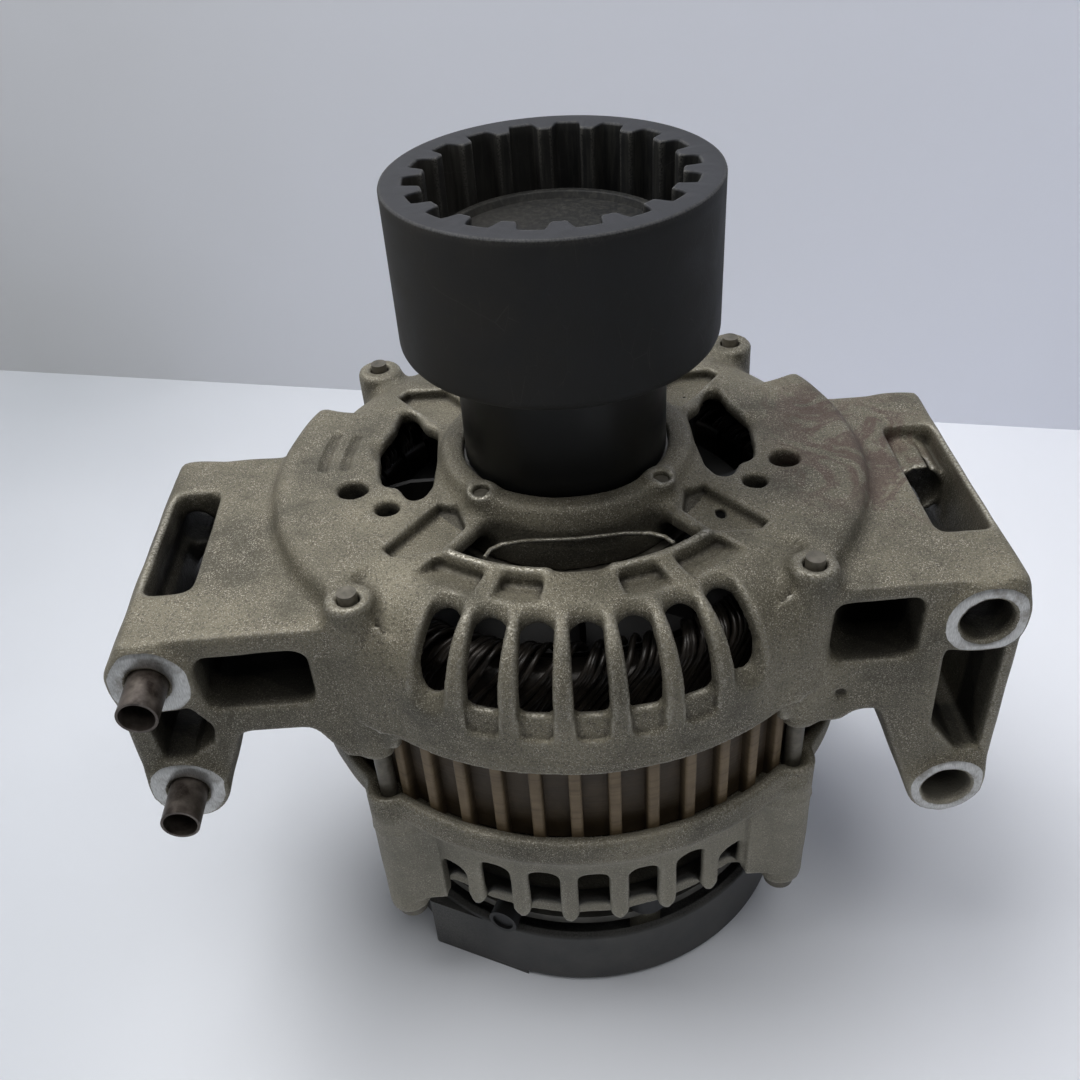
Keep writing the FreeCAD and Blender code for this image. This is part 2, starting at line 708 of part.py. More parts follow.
def arm(side, sign, turn, section, leg_window):
    """One hollow mounting arm with an upper and a lower bolt boss on its outer leg."""
    def x(name):
        return sign + side + "_" + name
    body = new_body(side + "_arm")
    profile = new_sketch(body, "profile", "XZ_Plane", "arm_front")
    outline(profile, section)
    pad(body, "cast", profile, "arm_front + " + side + "_back", reverse=True)
    bosses = new_sketch(body, "bosses", "XZ_Plane", "boss_front")
    circle(bosses, x("boss_x"), "upper_boss_height", "boss_radius")
    circle(bosses, x("boss_x"), side + "_low_height", "boss_radius")
    pad(body, "bosses_cast", bosses, "boss_front + " + side + "_back + boss_back_reach", reverse=True)
    openings = new_sketch(body, "openings", "XZ_Plane", "arm_front + 1")
    outline(openings, [
        (x("window_start"), side + "_window_low", "arm_window_round"),
        (x("window_end"), side + "_window_low", "arm_window_round"),
        (x("window_end"), side + "_window_high", "arm_window_round"),
        (x("window_start"), side + "_window_high", "arm_window_round"),
    ])
    outline(openings, leg_window)
    pocket(body, "openings_cut", openings, "arm_front + 2 + " + side + "_back")
    well = new_sketch(body, "well", "XY_Plane", "arm_top + 1")
    outline(well, [
        (x("pocket_start"), "-" + side + "_pocket_front", "1.5"),
        (x("pocket_end"), "-" + side + "_pocket_front", "1.5"),
        (x("pocket_end"), side + "_pocket_back", "1.5"),
        (x("pocket_start"), side + "_pocket_back", "1.5"),
    ])
    pocket(body, "well_cut", well, "arm_top + 1 - upper_boss_height + boss_radius + 2")
    if side == "right":
        tube = new_sketch(body, "tube", "XZ_Plane", "tube_front")
        circle(tube, "right_boss_x", "upper_boss_height", "tube_radius")
        pad(body, "tube_cast", tube, "tube_front + right_pocket_back + 1", reverse=True)
        dimple = new_sketch(body, "dimple", "XZ_Plane", "arm_front + 1")
        circle(dimple, "dimple_x", "dimple_height", "dimple_radius")
        pocket(body, "dimple_cut", dimple, "dimple_depth + 1")
    bores = new_sketch(body, "bores", "XZ_Plane", "boss_front + 1")
    circle(bores, x("boss_x"), "upper_boss_height", side + "_bore_radius")
    circle(bores, x("boss_x"), side + "_low_height", side + "_bore_radius")
    pocket(body, "bores_cut", bores, "boss_front + 2 + boss_back_reach + " + side + "_back")
    seat = new_sketch(body, "seat", "XZ_Plane")
    outline(seat, [
        ("0", "rear_rim_top"),
        ("housing_radius + register_gap", "rear_rim_top"),
        ("housing_radius + register_gap", "bracket_top + register_gap", "shoulder_round + register_gap"),
        ("0", "bracket_top + register_gap"),
    ])
    groove(body, "seat_cut", seat)
    flank = new_sketch(body, "flank", "XZ_Plane", turn=turn)
    outline(flank, [
        (sign + "side_face_inner", "bracket_top - side_face_height"),
        (sign + "(housing_radius + register_gap)", "bracket_top - side_face_height"),
        (sign + "(housing_radius + register_gap)", "bracket_top"), (sign + "side_face_inner", "bracket_top"),
    ])
    groove(body, "flank_cut", flank, "side_sector_angle + joint_angle")
    column = new_sketch(body, "column", "XY_Plane", "bracket_top")
    circle(column, sign + "bolt_circle * sin(bolt_angle)", "-bolt_circle * cos(bolt_angle)",
           "bolt_boss_radius + register_gap")
    pocket(body, "column_cut", column, "bracket_top - rear_rim_top")


def arms():
    edge = "(left_boss_x + boss_radius)"
    arm("left", "-", "side_sector_turn", [
        ("-bolt_circle * sin(bolt_angle)", "arm_top"), ("-left_plate_edge", "arm_top", "3"),
        ("-" + edge, "upper_boss_height + 3"), ("-" + edge, "left_low_height"),
        ("-left_boss_x", "left_low_height - boss_radius + 1"),
        ("-103.5", "left_low_height - 8.3"), ("-92.5", "left_underside", "3"),
        ("-73", "left_underside", "4"), ("-66", "arm_root"), ("-bolt_circle * sin(bolt_angle)", "arm_root"),
    ], [
        ("-112", "131"), ("-104.5", "131", "1"), ("-99.5", "122.5", "1"), ("-100.5", "117", "1"),
        ("-107", "left_low_height + boss_radius + 2", "1"),
        ("-114.5", "left_low_height + boss_radius + 2", "1"),
        ("-115.5", "126", "1"),
    ])
    edge = "(right_boss_x + boss_radius)"
    arm("right", "", "-side_sector_turn", [
        ("bolt_circle * sin(bolt_angle)", "arm_top"), ("right_plate_edge", "arm_top", "3"),
        (edge, "upper_boss_height + 3"), (edge, "right_low_height"),
        ("right_boss_x", "right_low_height - boss_radius + 1"),
        ("91.5", "right_low_height - 4"), ("78.5", "right_underside", "2"),
        ("72.5", "right_underside", "2"), ("68.5", "arm_root"),
        ("bolt_circle * sin(bolt_angle)", "arm_root"),
    ], [
        ("94", "131"), ("108.5", "131", "1"), ("108.5", "92", "1"), ("103", "92", "1"), ("94.5", "103", "2"),
    ])


def slip_ring_end_bracket():
    """Casting that carries the rear bearing, the rear of the stator and the electrics below it."""
    body = new_body("slip_ring_end_bracket")
    register = "core_radius + register_gap"
    inner_wall = "rear_wall_radius - rear_wall"
    hub = "rear_bearing_radius + rear_hub_wall"
    section = new_sketch(body, "section", "XZ_Plane")
    outline(section, [
        (register, "rear_rim_top"),
        ("housing_radius", "rear_rim_top", "1"),
        ("housing_radius", "rear_rim_foot", "2"),
        ("rear_wall_radius + 1.6", "rear_ledge"),
        ("rear_wall_radius", "rear_ledge - 3"),
        ("rear_wall_radius", "finger_end", "3"),
        ("rear_floor_radius", "rear_floor"),
        (hub, "rear_floor"),
        (hub, "rear_bearing_bottom - rear_hub_lip"),
        ("rear_bearing_radius - 6", "rear_bearing_bottom - rear_hub_lip"),
        ("rear_bearing_radius - 6", "rear_bearing_bottom"),
        ("rear_bearing_radius", "rear_bearing_bottom"),
        ("rear_bearing_radius", "rear_bearing_bottom + rear_bearing_width + 1"),
        (hub, "rear_bearing_bottom + rear_bearing_width + 1"),
        (hub, "rear_floor + rear_floor_thickness"),
        ("rear_floor_radius - 4.5", "rear_floor + rear_floor_thickness"),
        ("rear_floor_radius - 4.5", "rear_floor_top"),
        ("rear_floor_radius", "rear_floor_top"),
        (inner_wall, "rear_floor_top + 4"),
        (inner_wall, "core_bottom - 8"),
        ("core_radius - core_seat_depth", "core_bottom"),
        (register, "core_bottom"),
    ])
    revolve(body, "turned", section)
    lugs = new_sketch(body, "lugs", "XY_Plane", "rear_lug_bottom")
    bolt_spots(lugs, "rear_lug_radius", FRONT_BOLTS + BACK_BOLTS)
    pad(body, "lugs_cast", lugs, "rear_rim_top - rear_lug_bottom")
    posts = new_sketch(body, "posts", "XY_Plane", "post_end")
    spots(posts, "post_circle", "post_radius", SIZES["posts"], "post_turn", "360 / posts")
    pad(body, "posts_cast", posts, "rear_floor - post_end + 1")
    seat = new_sketch(body, "seat", "XZ_Plane")
    outline(seat, [("60", "core_bottom"), (register, "core_bottom"), (register, "rear_rim_top + 3"),
                   ("60", "rear_rim_top + 3")])
    groove(body, "seat_cut", seat)
    half = "rear_slot_width / 2"
    spread = "(rear_flare_width / 2)"
    for side, turn in (("front", "rear_slot_turn"), ("back", "180 + rear_slot_turn")):
        for name, count, pitch, top in (
            ("slot", "rear_slots", "rear_slot_pitch", "rear_slot_top"),
            ("end_slot", "2", "rear_slot_pitch * (rear_slots + 1)", "rear_end_slot_top"),
        ):
            reach = "(%s * (%s - 1))" % (pitch, count)
            slot = new_sketch(body, side + "_" + name, "XZ_Plane", "rear_floor_radius - 0.5",
                              turn + " - " + reach + " / 2")
            outline(slot, [
                ("-" + half, top, "2"), (half, top, "2"), (half, "finger_end + finger_taper", "3"),
                (spread, "finger_end"), (spread, "rear_floor - 8"), ("-" + spread, "rear_floor - 8"),
                ("-" + spread, "finger_end"), ("-" + half, "finger_end + finger_taper", "3"),
            ])
            first = pocket(body, side + "_" + name + "_cut", slot, "12", reverse=True)
            around(body, side + "_" + name + "s", [first], count, reach)
    inlet = new_sketch(body, "inlet", "XZ_Plane", turn="22.5")
    outline(inlet, [
        ("inlet_inner_radius", "rear_floor - 1"), ("inlet_outer_radius", "rear_floor - 1"),
        ("inlet_outer_radius", "rear_floor + rear_floor_thickness + 1"),
        ("inlet_inner_radius", "rear_floor + rear_floor_thickness + 1"),
    ])
    first = groove(body, "inlet_cut", inlet, "inlet_angle")
    around(body, "inlets_cut", [first], "inlets")
    bridges = new_sketch(body, "regulator_bridges", "XY_Plane", "rear_floor")
    for sign in ("-", ""):
        outline(bridges, [
            (sign + "(regulator_post_x - regulator_post_radius)", "regulator_post_y - regulator_post_radius"),
            (sign + "(regulator_post_x + regulator_post_radius)", "regulator_post_y - regulator_post_radius"),
            (sign + "(regulator_post_x + regulator_post_radius)", "inlet_outer_radius + 4"),
            (sign + "(regulator_post_x - regulator_post_radius)", "inlet_outer_radius + 4"),
        ])
    pad(body, "regulator_bridges_cast", bridges, "rear_floor_thickness")
    short_posts = new_sketch(body, "regulator_posts", "XY_Plane", "regulator_low + regulator_height")
    for sign in ("-", ""):
        circle(short_posts, sign + "regulator_post_x", "regulator_post_y", "regulator_post_radius")
    pad(body, "regulator_posts_cast", short_posts, "rear_floor - regulator_low - regulator_height + 1")
    bores = new_sketch(body, "bolt_holes", "XY_Plane", "rear_rim_top + 1")
    bolt_spots(bores, "bolt_hole_radius", FRONT_BOLTS + BACK_BOLTS)
    pocket(body, "bolt_holes_cut", bores, "rear_rim_top - rear_lug_bottom + 2")
    dips = new_sketch(body, "rim_dips", "XY_Plane", "rear_rim_top + 1")
    bolt_spots(dips, "rim_dip_radius", FRONT_BOLTS + BACK_BOLTS)
    pocket(body, "rim_dips_cut", dips, "rim_dip_depth + 1")
    taps = new_sketch(body, "post_holes", "XY_Plane", "post_end - 1")
    spots(taps, "post_circle", "cover_screw_radius", SIZES["posts"], "post_turn", "360 / posts")
    pocket(body, "post_holes_cut", taps, "16", reverse=True)
    short_taps = new_sketch(body, "regulator_post_holes", "XY_Plane", "regulator_low + regulator_height - 1")
    for sign in ("-", ""):
        circle(short_taps, sign + "regulator_post_x", "regulator_post_y", "screw_radius")
    pocket(body, "regulator_post_holes_cut", short_taps, "10", reverse=True)


def rear_cover():
    """Moulded cover that shields the electrics; the alternator stands on it."""
    body = new_body("rear_cover")
    inside = "cover_radius - cover_wall"
    section = new_sketch(body, "section", "XZ_Plane")
    outline(section, [
        ("0", "0"), ("cover_radius", "0", "cover_round"), ("cover_radius", "cover_height", "0.8"),
        (inside, "cover_height"), (inside, "cover_wall", "1"), ("0", "cover_wall"),
    ])
    revolve(body, "moulded", section)
    bulge = new_sketch(body, "bulge", "XY_Plane")
    outline(bulge, [
        ("-cover_radius * sin(cover_bulge_start)", "-cover_radius * cos(cover_bulge_start)"),
        ("-cover_bulge_radius * sin(cover_bulge_end)", "-cover_bulge_radius * cos(cover_bulge_end)", "1.5"),
        ("-(cover_radius - 1.5) * sin(cover_bulge_end)", "-(cover_radius - 1.5) * cos(cover_bulge_end)"),
        ("-(cover_radius - 1.5) * sin(34)", "-(cover_radius - 1.5) * cos(34)"),
    ])
    pad(body, "bulge_moulded", bulge, "cover_height - 1")
    tab = new_sketch(body, "tab", "XY_Plane", "cover_tab_low", "-90 - cover_tab_turn")
    outline(tab, [
        ("cover_radius - 1", "-cover_tab_width / 2"), ("cover_tab_reach", "-cover_tab_width / 2", "1"),
        ("cover_tab_reach", "cover_tab_width / 2", "1"), ("cover_radius - 1", "cover_tab_width / 2"),
    ])
    first = pad(body, "tab_moulded", tab, "cover_tab_height")
    around(body, "tabs", [first], "2", "-cover_tab_pitch")
    bosses = new_sketch(body, "screw_bosses", "XY_Plane", "cover_wall - 0.5")
    spots(bosses, "post_circle", "post_radius + 1", SIZES["posts"], "post_turn", "360 / posts")
    pad(body, "screw_bosses_moulded", bosses, "post_end - cover_wall + 0.5")
    sinks = new_sketch(body, "screw_recesses", "XY_Plane", "-1")
    holes = new_sketch(body, "screw_holes", "XY_Plane", "-1")
    spots(sinks, "post_circle", "cover_screw_head + 0.4", SIZES["posts"], "post_turn", "360 / posts")
    spots(holes, "post_circle", "cover_screw_radius + 0.2", SIZES["posts"], "post_turn", "360 / posts")
    pocket(body, "screw_recesses_cut", sinks, "1 + cover_screw_head_height + 0.3", reverse=True)
    pocket(body, "screw_holes_cut", holes, "post_end + 2", reverse=True)
    slot = new_sketch(body, "slot", "XY_Plane", "-1")
    outline(slot, [
        ("cover_slot_start", "-cover_slot_width / 2", "1.5"),
        ("cover_slot_end", "-cover_slot_width / 2", "1.5"),
        ("cover_slot_end", "cover_slot_width / 2", "1.5"),
        ("cover_slot_start", "cover_slot_width / 2", "1.5"),
    ])
    first = pocket(body, "slot_cut", slot, "cover_wall + 2", reverse=True)
    around(body, "slots", [first], "cover_slots")
    notch = new_sketch(body, "socket_notch", "XZ_Plane", "-(cover_radius + 2)")
    outline(notch, [
        ("-socket_width / 2 - 0.5", "socket_bottom - 0.5"),
        ("socket_width / 2 + 0.5", "socket_bottom - 0.5"),
        ("socket_width / 2 + 0.5", "cover_height + 1"), ("-socket_width / 2 - 0.5", "cover_height + 1"),
    ])
    pocket(body, "socket_notch_cut", notch, "14", reverse=True)


def stator():
    """Laminated core with ribs outside and slots inside, and the winding ends above and below it."""
    body = new_body("stator_core")
    inner = "rotor_radius + air_gap"
    section = new_sketch(body, "section", "XZ_Plane")
    outline(section, [(inner, "core_bottom"), ("core_radius - core_rib_depth", "core_bottom"),
                      ("core_radius - core_rib_depth", "core_top"), (inner, "core_top")])
    revolve(body, "stack", section)
    rib = new_sketch(body, "rib", "XY_Plane", "core_bottom", "180 / core_ribs")
    outline(rib, [
        ("core_radius - core_rib_depth - 1", "-core_rib_width / 2"),
        ("core_radius", "-core_rib_width / 2", "0.8"),
        ("core_radius", "core_rib_width / 2", "0.8"),
        ("core_radius - core_rib_depth - 1", "core_rib_width / 2"),
    ])
    first = pad(body, "rib_pressed", rib, "core_top - core_bottom")
    around(body, "ribs", [first], "core_ribs")
    slot = new_sketch(body, "slot", "XY_Plane", "core_top + 1")
    mouth = "slot_mouth / 2"
    outline(slot, [
        (inner + " - 1", "-" + mouth), (inner + " + slot_lip", "-" + mouth),
        (inner + " + slot_lip", "-core_slot_width / 2"),
        ("core_slot_end", "-core_slot_width / 2"), ("core_slot_end", "core_slot_width / 2"),
        (inner + " + slot_lip", "core_slot_width / 2"), (inner + " + slot_lip", mouth),
        (inner + " - 1", mouth),
    ])
    first = pocket(body, "slot_cut", slot, "core_top - core_bottom + 2")
    around(body, "slots", [first], "core_slots")
    front = ring("stator_winding_front", "winding_inner_radius", "winding_outer_radius", "core_top",
                 "winding_front_top", "winding_round")
    bar = new_sketch(front, "bar", "XY_Plane", "core_bottom")
    outline(bar, [
        ("winding_inner_radius", "-winding_bar_width / 2"),
        ("core_slot_end - 0.3", "-winding_bar_width / 2"),
        ("core_slot_end - 0.3", "winding_bar_width / 2"), ("winding_inner_radius", "winding_bar_width / 2"),
    ])
    first = pad(front, "bar_laid", bar, "core_top - core_bottom + 1")
    around(front, "bars", [first], "core_slots")
    rear = ring("stator_winding_rear", "winding_inner_radius", "winding_outer_radius", "winding_rear_bottom",
                "core_bottom", "winding_round")
    faces = ((front, "winding_front_top + 1", False), (rear, "winding_rear_bottom - 1", True))
    for end, level, turned_over in faces:
        notch = new_sketch(end, "notch", "XY_Plane", level, "180 / core_slots")
        outline(notch, [
            ("winding_inner_radius - 2", "-winding_notch / 2"),
            ("winding_outer_radius + 2", "-winding_notch / 2"),
            ("winding_outer_radius + 2", "winding_notch / 2"),
            ("winding_inner_radius - 2", "winding_notch / 2"),
        ])
        first = pocket(end, "notch_cut", notch, "winding_notch_depth + 1", reverse=turned_over)
        around(end, "notches", [first], "core_slots")


def bearing(prefix, bottom):
    """Deep-groove ball bearing: two rings, a cage and its balls."""
    bore = prefix + "_bearing_bore"
    outside = prefix + "_bearing_radius"
    width = prefix + "_bearing_width"
    ball = prefix + "_ball_radius"
    count = prefix + "_ball_count"
    pitch = "((%s + %s) / 2)" % (bore, outside)
    wall = "ring_wall_share * (%s - %s)" % (outside, bore)
    middle = bottom + " + " + width + " / 2"
    for name, low, high in (("inner", bore, bore + " + " + wall), ("outer", outside + " - " + wall, outside)):
        body = ring(prefix + "_bearing_" + name + "_ring", low, high, bottom, bottom + " + " + width)
        race = new_sketch(body, "race", "XZ_Plane")
        circle(race, pitch, middle, ball + " + ball_clearance")
        groove(body, "race_ground", race)
    cage = ring(prefix + "_bearing_cage", pitch + " - cage_half_width", pitch + " + cage_half_width",
                bottom + " + 1.2", bottom + " + " + width + " - 1.2")
    hole = new_sketch(cage, "ball_hole", "XZ_Plane", "0")
    circle(hole, "0", middle, ball + " + ball_clearance")
    first = pocket(cage, "ball_hole_cut", hole, outside, reverse=True)
    around(cage, "ball_holes", [first], count)
    balls = []
    for number in range(SIZES[count]):
        sphere = doc.addObject("Part::Sphere", "%s_ball_%d" % (prefix, number + 1))
        sphere.setExpression("Radius", bound(ball))
        turn = "(90 + 360 / %s * %d)" % (count, number)
        sphere.setExpression("Placement.Base.x", bound("%s * cos%s" % (pitch, turn)))
        sphere.setExpression("Placement.Base.y", bound("%s * sin%s" % (pitch, turn)))
        sphere.setExpression("Placement.Base.z", bound(middle))
        balls.append(sphere)
    group(prefix + "_bearing_balls", balls)


def shaft():
    low_seat = "rear_bearing_bottom + rear_bearing_width"
    high_seat = "front_bearing_top - front_bearing_width"
    turned("rotor_shaft", [
        ("0", "shaft_tail"), ("shaft_tail_radius - shaft_chamfer", "shaft_tail"),
        ("shaft_tail_radius", "shaft_tail + shaft_chamfer"),
        ("shaft_tail_radius", "rear_bearing_bottom - 3"),
        ("rear_seat_radius", "rear_bearing_bottom - 3"), ("rear_seat_radius", low_seat),
        ("rear_seat_radius + 2.5", low_seat), ("rear_seat_radius + 2.5", low_seat + " + 10"),
        ("rotor_seat_radius", low_seat + " + 10"), ("rotor_seat_radius", high_seat),
        ("shaft_radius", high_seat), ("shaft_radius", "nut_recess_floor - 1"),
        ("shaft_thread_radius", "nut_recess_floor - 1"),
        ("shaft_thread_radius", "shaft_tip - shaft_chamfer"),
        ("shaft_thread_radius - shaft_chamfer", "shaft_tip"), ("0", "shaft_tip"),
    ])


def coupling():
    """Splined cup that the engine's shaft drives, with its sleeve, nut and cap."""
    body = new_body("coupling_cup")
    section = new_sketch(body, "section", "XZ_Plane")
    outline(section, [
        ("shaft_radius", "cup_underside"), ("cup_radius", "cup_underside", "cup_edge_round"),
        ("cup_radius", "cup_top", "0.8"), ("spline_root_radius", "cup_top"),
        ("spline_root_radius", "spline_floor"), ("nut_recess_radius", "spline_floor"),
        ("nut_recess_radius", "nut_recess_floor"), ("shaft_radius", "nut_recess_floor"),
    ])
    revolve(body, "turned", section)
    tooth = new_sketch(body, "tooth", "XY_Plane", "spline_floor")
    outline(tooth, [
        ("spline_root_radius + 1", "-tooth_root_width / 2"),
        ("spline_root_radius - 0.3", "-tooth_root_width / 2"),
        ("spline_tip_radius", "-tooth_tip_width / 2", "1.6"),
        ("spline_tip_radius", "tooth_tip_width / 2", "1.6"),
        ("spline_root_radius - 0.3", "tooth_root_width / 2"),
        ("spline_root_radius + 1", "tooth_root_width / 2"),
    ])
    first = pad(body, "tooth_cut", tooth, "cup_top - spline_floor - 0.4")
    around(body, "teeth", [first], "spline_teeth")
    turned("coupling_sleeve", [
        ("shaft_radius", "front_bearing_top"), ("shaft_radius + 4.5", "front_bearing_top"),
        ("shaft_radius + 4.5", "front_bearing_top + sleeve_end_gap"),
        ("sleeve_radius", "front_bearing_top + sleeve_end_gap"), ("sleeve_radius", "cup_underside"),
        ("shaft_radius", "cup_underside"),
    ])
    cap = "spline_tip_radius - cap_clearance"
    turned("coupling_cap", [
        ("0", "spline_floor"), (cap, "spline_floor"),
        (cap, "spline_floor + cap_thickness + cap_rim_height", "0.6"),
        (cap + " - cap_rim_width", "spline_floor + cap_thickness + cap_rim_height", "0.6"),
        (cap + " - cap_rim_width - 1", "spline_floor + cap_thickness"),
        ("0", "spline_floor + cap_thickness"),
    ])
    nut = doc.addObject("Part::Prism", "shaft_nut_hexagon")
    nut.Polygon = 6
    nut.setExpression("Circumradius", bound("nut_flats / 2 / cos(30)"))
    nut.setExpression("Height", bound("nut_height"))
    nut.setExpression("Placement.Base.z", bound("nut_recess_floor"))
    hole = doc.addObject("Part::Cylinder", "shaft_nut_bore")
    hole.setExpression("Radius", bound("shaft_thread_radius"))
    hole.setExpression("Height", bound("nut_height + 2"))
    hole.setExpression("Placement.Base.z", bound("nut_recess_floor - 1"))
    cut = doc.addObject("Part::Cut", "shaft_nut")
    cut.Label = "shaft_nut"
    cut.Base = nut
    cut.Tool = hole


def claw_pole(label, face, way, turn):
    """Half of the rotor: a disc with half of the pole core and its ring of tapering claws."""
    body = new_body(label)
    middle = "(claw_front + claw_rear) / 2"
    sign = "+" if way == "-" else "-"
    section = new_sketch(body, "section", "XZ_Plane")
    inner_face = face + " " + way + " claw_disc"
    outline(section, [
        ("rotor_seat_radius", face), ("claw_disc_radius", face), ("claw_disc_radius", inner_face),
        ("pole_core_radius", inner_face), ("pole_core_radius", middle), ("rotor_seat_radius", middle),
    ])
    revolve(body, "forged", section)
    arm_sketch = new_sketch(body, "arm", "XY_Plane", face)
    outline(arm_sketch, [
        ("claw_disc_radius - 4", "-claw_root_width / 2"), ("rotor_radius + 2", "-claw_root_width / 2"),
        ("rotor_radius + 2", "claw_root_width / 2"), ("claw_disc_radius - 4", "claw_root_width / 2"),
    ])
    root = pad(body, "arm_forged", arm_sketch, "claw_disc", reverse=way == "-")
    tip_level = ("claw_rear + claw_tip_gap" if way == "-" else "claw_front - claw_tip_gap")
    start = new_sketch(body, "claw_root", "XY_Plane", inner_face + " " + sign + " 1")
    outline(start, [
        ("rotor_radius - claw_root_depth", "-claw_root_width / 2"),
        ("rotor_radius + 2", "-claw_root_width / 2"),
        ("rotor_radius + 2", "claw_root_width / 2"),
        ("rotor_radius - claw_root_depth", "claw_root_width / 2"),
    ])
    end = new_sketch(body, "claw_tip", "XY_Plane", tip_level)
    outline(end, [
        ("rotor_radius - claw_tip_depth", "-claw_tip_width / 2"),
        ("rotor_radius + 2", "-claw_tip_width / 2"),
        ("rotor_radius + 2", "claw_tip_width / 2"), ("rotor_radius - claw_tip_depth", "claw_tip_width / 2"),
    ])
    claw = body.newObject("PartDesign::AdditiveLoft", label + "_claw")
    claw.Profile = start
    claw.Sections = [(end, [""])]
    claw.Ruled = True
    body.Tip = claw
    around(body, "claws", [root, claw], "claws")
    trim = new_sketch(body, "trim", "XZ_Plane")
    outline(trim, [
        ("rotor_radius", "claw_rear - 2"), ("rotor_radius + 6", "claw_rear - 2"),
        ("rotor_radius + 6", "claw_front + 2"), ("rotor_radius", "claw_front + 2"),
    ])
    groove(body, "ground", trim)
    rotation = FreeCAD.Rotation(FreeCAD.Vector(0, 0, 1), turn)
    body.Placement = FreeCAD.Placement(FreeCAD.Vector(0, 0, 0), rotation)


def fan(label, face, way):
    """Pressed fan: a plate against the claws and blades that stand away from them."""
    body = new_body(label)
    plate = new_sketch(body, "plate", "XY_Plane", face)
    circle(plate, "0", "0", "fan_radius")
    circle(plate, "0", "0", "rotor_seat_radius")
    pad(body, "plate_pressed", plate, "fan_plate", reverse=way == "-")
    blade = new_sketch(body, "blade", "XY_Plane", face + " " + way + " fan_plate / 2")
    outline(blade, [
        ("blade_inner_radius", "-fan_blade_wall / 2"), ("(fan_radius + blade_inner_radius) / 2", "1.5"),
        ("fan_radius - 1", "7"), ("fan_radius - 1.6", "7 + fan_blade_wall"),
        ("(fan_radius + blade_inner_radius) / 2 - 0.5", "1.5 + fan_blade_wall"),
        ("blade_inner_radius", "fan_blade_wall / 2"),
    ])
    first = pad(body, "blade_pressed", blade, "fan_plate / 2 + fan_blade_height", reverse=way == "-")
    around(body, "blades", [first], "fan_blades")


def rotor():
    claw_pole("claw_pole_front", "claw_front", "-", 0)
    claw_pole("claw_pole_rear", "claw_rear", "+", 180 / SIZES["claws"])
    low = "claw_rear + claw_disc"
    high = "claw_front - claw_disc"
    turned("coil_bobbin", [
        ("pole_core_radius", low), ("coil_radius + 0.6", low), ("coil_radius + 0.6", low + " + bobbin_wall"),
        ("pole_core_radius + bobbin_wall", low + " + bobbin_wall"),
        ("pole_core_radius + bobbin_wall", high + " - bobbin_wall"),
        ("coil_radius + 0.6", high + " - bobbin_wall"),
        ("coil_radius + 0.6", high), ("pole_core_radius", high),
    ])
    ring("field_coil", "pole_core_radius + bobbin_wall", "coil_radius", low + " + bobbin_wall",
         high + " - bobbin_wall")
    fan("front_fan", "claw_front", "+")
    fan("rear_fan", "claw_rear", "-")
    ring("slip_ring_core", "shaft_tail_radius", "slip_ring_radius", "slip_ring_low - 1",
         "slip_ring_low + slip_ring_pitch + slip_ring_width + 2")
    rings = []
    for number in range(2):
        level = "slip_ring_low + slip_ring_pitch * %d" % number
        outer = doc.addObject("Part::Cylinder", "slip_ring_%d_outside" % (number + 1))
        outer.setExpression("Radius", bound("slip_ring_radius + slip_ring_wall"))
        outer.setExpression("Height", bound("slip_ring_width"))
        outer.setExpression("Placement.Base.z", bound(level))
        inner = doc.addObject("Part::Cylinder", "slip_ring_%d_inside" % (number + 1))
        inner.setExpression("Radius", bound("slip_ring_radius"))
        inner.setExpression("Height", bound("slip_ring_width + 2"))
        inner.setExpression("Placement.Base.z", bound(level + " - 1"))
        cut = doc.addObject("Part::Cut", "slip_ring_%d" % (number + 1))
        cut.Base = outer
        cut.Tool = inner
        rings.append(cut)
    group("slip_rings", rings)


def electrics():
    """Rectifier plates with their diodes and the spacers between them."""
    negative_low = "rear_floor - sink_thickness"
    positive_low = "rear_floor - sink_thickness * 2 - sink_gap"
    for label, low in (("negative_heat_sink", negative_low), ("positive_heat_sink", positive_low)):
        body = new_body(label)
        section = new_sketch(body, "section", "XZ_Plane", turn="-90")
        outline(section, [
            ("sink_inner_radius", low), ("sink_outer_radius", low),
            ("sink_outer_radius", low + " + sink_thickness"),
            ("sink_inner_radius", low + " + sink_thickness"),
        ])
        revolve(body, "pressed", section, "360 - sink_opening")
        holes = new_sketch(body, "post_holes", "XY_Plane", low + " - 1")
        spots(holes, "post_circle", "post_radius + 0.2", SIZES["posts"], "post_turn", "360 / posts")
        pocket(body, "post_holes_cut", holes, "sink_thickness + 2", reverse=True)
    for label, level, turn in (
            ("negative_diodes", negative_low + " - diode_height", "-diode_pitch * (diodes - 1) / 2 - 9"),
            ("positive_diodes", positive_low + " + sink_thickness", "-diode_pitch * (diodes - 1) / 2 + 9")):
        body = new_body(label)
        places = new_sketch(body, "places", "XY_Plane", level)
        spots(places, "diode_circle", "diode_radius", SIZES["diodes"], turn, "diode_pitch")
        pad(body, "pressed_in", places, "diode_height")
    spacers = new_body("rectifier_spacers")
    places = new_sketch(spacers, "places", "XY_Plane", positive_low + " + sink_thickness")
    spots(places, "post_circle", "post_radius + 2.4", SIZES["posts"], "post_turn", "360 / posts")
    spots(places, "post_circle", "post_radius + 0.2", SIZES["posts"], "post_turn", "360 / posts")
    pad(spacers, "moulded", places, "sink_gap")


